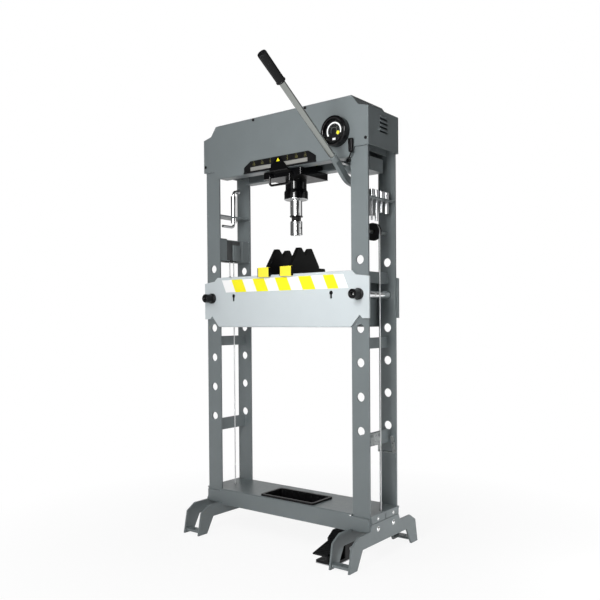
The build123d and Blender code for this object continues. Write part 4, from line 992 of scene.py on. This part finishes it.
class PRESS_OT_grip(bpy.types.Operator):
    """Ribbed rubber grip on the pump lever"""

    bl_idname = "press.grip"
    bl_label = "Lever grip"

    def execute(self, context):
        tilt = radians(33.8)
        along = Vector((0.0, -cos(tilt), sin(tilt)))
        arm_end, up_the_tube = Vector((0.335, -0.172, 1.570)), 0.3960
        start = arm_end + along * up_the_tube
        tall, ribs, rings, rib_share = 0.1262, 16, 8, 0.035
        flange, waist, taper = 0.0186, 0.0160, 0.0010
        collar, tip, margin = 0.0065, 0.0030, 0.001
        outline = [(0.0, 0.0), (0.0172, 0.0), (flange, 0.0015), (flange, 0.0045), (0.0168, collar)]
        for step in range(1, rings + 1):
            share = step / rings
            outline.append((waist + taper * share, collar + (tall - collar - tip) * share))
        outline += [(waist, tall), (0.0, tall)]
        piece = turned("grip_cover", outline, ribs * 4)
        edit(piece)

        def rib(point):
            if point.z < collar + margin or point.z > tall - margin:
                return point
            wave = cos(ribs * Vector((point.x, point.y)).angle_signed(Vector((1.0, 0.0)), 0.0))
            share = 1.0 + rib_share * wave
            return Vector((point.x * share, point.y * share, point.z))

        reshape(piece, rib)
        bpy.ops.object.mode_set(mode="OBJECT")
        send(piece, aim(start, along))
        settle(piece, "lever", moulded_black())
        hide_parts("lever_grip")
        return {"FINISHED"}


class PRESS_OT_release(bpy.types.Operator):
    """Ribbed paddle of the release lever"""

    bl_idname = "press.release"
    bl_label = "Release paddle"

    def execute(self, context):
        low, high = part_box("release_knob")
        foot = low.z + 0.006
        taper, rib_shares = (0.78, 0.85, 1.0), (0.3, 0.5, 0.7)
        half_rib, proud, sunk, below, above = 0.001, 0.0009, 0.002, 0.012, 0.008
        paddle = slab("release_paddle", (low.x, low.y, foot), (high.x, high.y, high.z))
        edit(paddle)
        pick_faces(paddle, lambda centre, normal: normal.z < -0.9)
        bpy.ops.transform.resize(value=taper)
        bpy.ops.object.mode_set(mode="OBJECT")
        made = [soften(paddle, 0.0042, 4)]
        for share in rib_shares:
            x = low.x + (high.x - low.x) * share
            near = (x - half_rib, low.y - proud, foot + below)
            far = (x + half_rib, low.y + sunk, high.z - above)
            made.append(soften(slab("rib", near, far), 0.0006))
        settle(join("release_paddle", made), "release", moulded_black())
        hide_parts("release_knob")
        return {"FINISHED"}


class PRESS_OT_pins(bpy.types.Operator):
    """Bright buttons in the ends of the table pins' grips"""

    bl_idname = "press.pins"
    bl_label = "Pin grips"

    def execute(self, context):
        radius, recess = 0.0094, 0.016
        outline = (
            (0.0, 0.0), (radius, 0.0), (radius, 0.0040), (0.0085, 0.0055), (0.0060, 0.0066), (0.0, 0.0072),
        )
        for side in ("left", "right"):
            grip = "pin_grip_" + side
            middle = middle_of(grip)
            button = turned("pin_button_" + side, outline, 40)
            send(button, aim((middle.x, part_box(grip)[0].y + recess, middle.z), (0, -1, 0)))
            settle(button, "pin_" + side, bright_metal())
        return {"FINISHED"}


class PRESS_OT_tray(bpy.types.Operator):
    """Ribs inside the tool tray"""

    bl_idname = "press.tray"
    bl_label = "Tray"

    def execute(self, context):
        low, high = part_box("tool_tray")
        wall, foot = 0.0118, low.z + 0.004
        half_rib, proud, sunk, tall = 0.0014, 0.0022, 0.0004, 0.038
        rib = soften(slab("tray_ribs", (-half_rib, -proud, 0), (half_rib, sunk, tall)), 0.0006)
        quarter = Matrix.Rotation(pi / 2, 4, "Z")
        spots = []
        for step in range(1, 8):
            x = low.x + (high.x - low.x) * step / 8
            spots.append(Matrix.Translation((x, high.y - wall, foot)))
        for step in range(1, 4):
            y = low.y + (high.y - low.y) * step / 4
            spots.append(Matrix.Translation((low.x + wall, y, foot)) @ quarter)
        settle(copies(rib, spots), "frame", moulded_black())
        return {"FINISHED"}


class PRESS_OT_pedal(bpy.types.Operator):
    """Ribs on the pedal's treadle, caps on its axle and the plate under it"""

    bl_idname = "press.pedal"
    bl_label = "Pedal"

    def execute(self, context):
        slope = Vector((0.0, 0.112, 0.026))
        tilt = Matrix.Rotation(radians(13.07), 4, "X")
        toe = Vector((0.310, -0.262, 0.051))
        half_wide, half_rib, sunk, proud = 0.027, 0.0022, 0.001, 0.0013
        rib = slab("treadle_ribs", (-half_wide, -half_rib, -sunk), (half_wide, half_rib, proud))
        soften(rib, 0.0007)
        first_share, pitch_share = 0.10, 0.105
        shares = [first_share + pitch_share * step for step in range(8)]
        spots = [Matrix.Translation(toe + slope * share) @ tilt for share in shares]
        settle(copies(rib, spots), "treadle", moulded_black())
        low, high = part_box("pedal_base")
        axle_y, axle_z, radius = -0.112, 0.044, 0.0085
        outline = ((0.0, -0.0002), (radius, -0.0002), (radius, 0.0018), (0.0060, 0.0032), (0.0, 0.0036))
        cap = turned("axle_caps", outline, 32)
        spots = [aim((low.x, axle_y, axle_z), (-1, 0, 0)), aim((high.x, axle_y, axle_z), (1, 0, 0))]
        settle(copies(cap, spots), "frame", spangled_zinc())
        lip, thick = 0.001, 0.004
        plate = slab("pedal_plate", (low.x - lip, low.y - lip, 0.0), (high.x + lip, high.y + lip, thick))
        settle(soften(plate, 0.0008), "frame", plain_metal())
        return {"FINISHED"}


class PRESS_OT_ropes(bpy.types.Operator):
    """Pressed ferrules at the rope ends and the guide under the winch"""

    bl_idname = "press.ropes"
    bl_label = "Rope ends"

    def execute(self, context):
        tall, radius, end_radius, chamfer = 0.022, 0.0055, 0.0042, 0.0015
        outline = (
            (0.0, 0.0), (end_radius, 0.0), (radius, chamfer), (radius, tall - chamfer), (end_radius, tall),
            (0.0, tall),
        )
        ferrule = turned("rope_ferrules", outline, 24)
        left_end, right_end = (-0.375, -0.026, 1.135), (0.365, 0.0, 1.135)
        spots = [Matrix.Translation(left_end), Matrix.Translation(right_end)]
        settle(copies(ferrule, spots), "frame", spangled_zinc())
        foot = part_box("winch_housing")[0].z
        left, right, front, back, below, above = -0.3845, -0.3640, -0.036, 0.009, 0.002, 0.007
        guide = slab("rope_guide", (left, front, foot - below), (right, back, foot + above))
        settle(soften(guide, 0.0012), "frame", moulded_black())
        return {"FINISHED"}


class PRESS_OT_winch(bpy.types.Operator):
    """Caps, painted shade in the recess, and panel of the winch's housing"""

    bl_idname = "press.winch"
    bl_label = "Winch panels"

    def execute(self, context):
        low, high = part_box("winch_housing")
        cap_left, cap_right, cap_back, cap_thick, proud = -0.4300, -0.3635, -0.0550, 0.0045, 0.0006
        cap_drop, cap_sunk = 0.004, 0.0005
        caps = []
        for z in (low.z - cap_drop, high.z - cap_sunk):
            cap = slab("cap", (cap_left, low.y - proud, z), (cap_right, cap_back, z + cap_thick))
            caps.append(soften(cap, 0.0012))
        settle(join("winch_caps", caps), "frame", moulded_black())
        # The dark strip and top round the panel are painted shade in the recess, not a colour of the housing.
        inner, face, panel_face = -0.3675, -0.3634, -0.3590
        shade_front, step_y, shade_back = -0.0555, -0.0185, 0.0310
        shade_low, step_z, shade_high = 1.230, 1.303, 1.320
        strip = slab("winch_recess_shade", (inner, shade_front, shade_low), (face, step_y, shade_high))
        top = slab("top", (inner, step_y, step_z), (face, shade_back, shade_high))
        dark = join("winch_recess_shade", [soften(strip, 0.0008), soften(top, 0.0008)])
        settle(dark, "frame", recess_shade_coat())
        gap, panel_low = 0.0005, 1.228
        near, far = (inner, step_y + gap, panel_low), (panel_face, shade_back - gap, step_z - gap)
        settle(soften(slab("winch_panel", near, far), 0.003, 3), "frame", frame_coat())
        return {"FINISHED"}


class PRESS_OT_stage(bpy.types.Operator):
    """Pale floor, soft light and the camera"""

    bl_idname = "press.stage"
    bl_label = "Stage"

    def floor(self):
        """The floor, which shows almost white to the camera and in what shines, but for the shadow."""
        let_go()
        bpy.ops.mesh.primitive_plane_add(size=40.0, location=(0, 0, -0.0005))
        floor = bpy.context.object
        floor.name = "floor"
        pale, shader, add, link = finish("pale_floor")
        shader.inputs["Base Color"].default_value = (0.90, 0.90, 0.90, 1.0)
        shader.inputs["Roughness"].default_value = 0.8
        glow = add("Emission", Strength=1.0)
        away = add("VectorMath", "LENGTH")
        link(add("TexCoord").outputs["Object"], away.inputs[0])
        fade = add("MapRange", From_Min=0.6, From_Max=1.6, To_Min=0.90, To_Max=1.0)
        link(away.outputs["Value"], fade.inputs["Value"])
        path = add("LightPath")
        seen = either(add, link, path.outputs["Is Camera Ray"], path.outputs["Is Glossy Ray"])
        share = add("Math", "MULTIPLY")
        link(either(add, link, seen, path.outputs["Is Transmission Ray"]), share.inputs[0])
        link(fade.outputs["Result"], share.inputs[1])
        both = add("MixShader")
        link(share.outputs["Value"], both.inputs["Fac"])
        link(shader.outputs["BSDF"], both.inputs[1])
        link(glow.outputs["Emission"], both.inputs[2])
        link(both.outputs["Shader"], pale.node_tree.nodes["Material Output"].inputs["Surface"])
        floor.data.materials.append(pale)

    def world(self):
        """Soft fill from the left, bands and a round softbox for what shines, and white for the camera."""
        world = bpy.data.worlds.new("studio")
        bpy.context.scene.world = world
        world.use_nodes = True
        add = node_maker(world.node_tree)
        link = world.node_tree.links.new
        fill = world.node_tree.nodes["Background"]
        fill.inputs["Color"].default_value = (1.0, 1.0, 1.0, 1.0)
        around = add("TexCoord").outputs["Generated"]
        towards_fill = (-0.6, -0.7, 0.3)
        lean = add("VectorMath", "DOT_PRODUCT")
        lean.inputs[1].default_value = towards_fill
        link(around, lean.inputs[0])
        level = add("MapRange", From_Min=-0.6, From_Max=1.0, To_Min=0.02, To_Max=0.30)
        link(lean.outputs["Value"], level.inputs["Value"])
        link(level.outputs["Result"], fill.inputs["Strength"])
        split = add("SeparateXYZ")
        link(around, split.inputs["Vector"])
        turn = add("Math", "ARCTAN2")
        link(split.outputs["Y"], turn.inputs[0])
        link(split.outputs["X"], turn.inputs[1])
        share = add("MapRange", From_Min=-pi, From_Max=pi)
        link(turn.outputs["Value"], share.inputs["Value"])
        bands = add("ValToRGB")
        stops = (
            (0.0, 0.12), (0.18, 0.12), (0.215, 0.85), (0.352, 0.85), (0.378, 0.05), (0.474, 0.05),
            (0.505, 1.0), (0.60, 1.0), (0.63, 0.15), (0.78, 0.15), (0.81, 1.0), (0.895, 1.0), (0.915, 0.12),
            (1.0, 0.12),
        )
        ramp(bands, [(place, (tone, tone, tone)) for place, tone in stops])
        link(share.outputs["Result"], bands.inputs["Fac"])
        mirror = add("Background")
        link(bands.outputs["Color"], mirror.inputs["Color"])
        above = add("MapRange", From_Min=0.35, From_Max=0.8, To_Min=1.0, To_Max=0.2)
        link(split.outputs["Z"], above.inputs["Value"])
        link(above.outputs["Result"], mirror.inputs["Strength"])
        towards_softbox, softbox_level = (0.2895, -0.9265, 0.24), 34.0
        near = add("VectorMath", "DOT_PRODUCT")
        near.inputs[1].default_value = towards_softbox
        link(around, near.inputs[0])
        bright = add("MapRange", From_Min=0.986, From_Max=0.990, To_Min=0.0, To_Max=softbox_level)
        link(near.outputs["Value"], bright.inputs["Value"])
        softbox = add("Background", Color=(1.0, 1.0, 1.0, 1.0))
        link(bright.outputs["Result"], softbox.inputs["Strength"])
        studio = add("AddShader")
        link(mirror.outputs["Background"], studio.inputs[0])
        link(softbox.outputs["Background"], studio.inputs[1])
        path = add("LightPath")
        shine = add("MixShader")
        link(path.outputs["Is Glossy Ray"], shine.inputs["Fac"])
        link(fill.outputs["Background"], shine.inputs[1])
        link(studio.outputs["Shader"], shine.inputs[2])
        white = add("Background", Color=(1.0, 1.0, 1.0, 1.0))
        seen = either(add, link, path.outputs["Is Camera Ray"], path.outputs["Is Transmission Ray"])
        both = add("MixShader")
        link(seen, both.inputs["Fac"])
        link(shine.outputs["Shader"], both.inputs[1])
        link(white.outputs["Background"], both.inputs[2])
        link(both.outputs["Shader"], world.node_tree.nodes["World Output"].inputs["Surface"])

    def lamps(self):
        """A strip and a soft lamp in front, a low one at the right end and a wide one above on the left."""
        for name, place, power, wide, tall, target in (
            ("strip", (0.72, -3.2, 1.45), 17.0, 0.11, 2.6, (0.0, 0.0, 1.1)),
            ("side", (0.58, -1.4, 1.55), 19.5, 0.6, 1.4, (0.40, 0.0, 1.2)),
            ("low", (1.5, 0.30, 0.18), 7.0, 0.5, 0.3, (0.45, 0.0, 0.12)),
            ("top", (-1.6, -1.4, 3.4), 23.0, 2.2, 2.2, (0.0, 0.0, 0.9)),
        ):
            let_go()
            bpy.ops.object.light_add(type="AREA", location=place)
            lamp = bpy.context.object
            lamp.name = name
            lamp.data.energy = power
            lamp.data.shape = "RECTANGLE"
            lamp.data.size = wide
            lamp.data.size_y = tall
            lamp.visible_camera = False
            lamp.visible_glossy = name == "strip"
            lamp.rotation_euler = (Vector(target) - Vector(place)).to_track_quat("-Z", "Y").to_euler()

    def camera(self):
        """The camera as solved from the photograph."""
        place = (1.9316, -2.4390, 0.9552)
        yaw, pitch, roll = radians(37.35), radians(-0.82), radians(0.39)
        forward = Vector((-sin(yaw) * cos(pitch), cos(yaw) * cos(pitch), sin(pitch)))
        across = Vector((cos(yaw), sin(yaw), 0.0))
        up = across.cross(forward)
        right = across * cos(roll) - up * sin(roll)
        up = across * sin(roll) + up * cos(roll)
        bpy.ops.object.camera_add()
        camera = bpy.context.object
        camera.name = "camera"
        axes = Matrix((right, up, -forward)).transposed().to_4x4()
        camera.matrix_world = Matrix.Translation(place) @ axes
        camera.data.sensor_width = 36.0
        camera.data.lens = 42.61
        camera.data.shift_x = -0.0158
        camera.data.shift_y = 0.0486
        camera.data.clip_end = 100.0
        bpy.context.scene.camera = camera

    def execute(self, context):
        self.floor()
        self.world()
        self.lamps()
        self.camera()
        context.scene.view_settings.view_transform = "Standard"
        return {"FINISHED"}


class PRESS_PT_panel(bpy.types.Panel):
    """Sidebar panel with the press's pieces"""

    bl_idname = "PRESS_PT_panel"
    bl_label = "Workshop press"
    bl_space_type = "VIEW_3D"
    bl_region_type = "UI"
    bl_category = "Press"

    def draw(self, context):
        for piece in pieces:
            self.layout.operator(piece.bl_idname)


pieces = (
    PRESS_OT_stage,
    PRESS_OT_finishes,
    PRESS_OT_screws,
    PRESS_OT_welds,
    PRESS_OT_louvres,
    PRESS_OT_stripes,
    PRESS_OT_block_caps,
    PRESS_OT_keyholes,
    PRESS_OT_scale,
    PRESS_OT_gauge,
    PRESS_OT_cylinder,
    PRESS_OT_ram,
    PRESS_OT_grip,
    PRESS_OT_release,
    PRESS_OT_pins,
    PRESS_OT_tray,
    PRESS_OT_pedal,
    PRESS_OT_ropes,
    PRESS_OT_winch,
)
classes = (PressColours, PressSizes, *pieces, PRESS_PT_panel)


def register():
    for cls in classes:
        bpy.utils.register_class(cls)
    bpy.types.Scene.press_colours = PointerProperty(type=PressColours)
    bpy.types.Scene.press_sizes = PointerProperty(type=PressSizes)


def unregister():
    del bpy.types.Scene.press_sizes
    del bpy.types.Scene.press_colours
    for cls in reversed(classes):
        bpy.utils.unregister_class(cls)


def main():
    """Makes every piece in order."""
    register()
    for piece in pieces:
        group, name = piece.bl_idname.split(".")
        getattr(getattr(bpy.ops, group), name)()
    let_go()


if __name__ == "__main__":
    main()
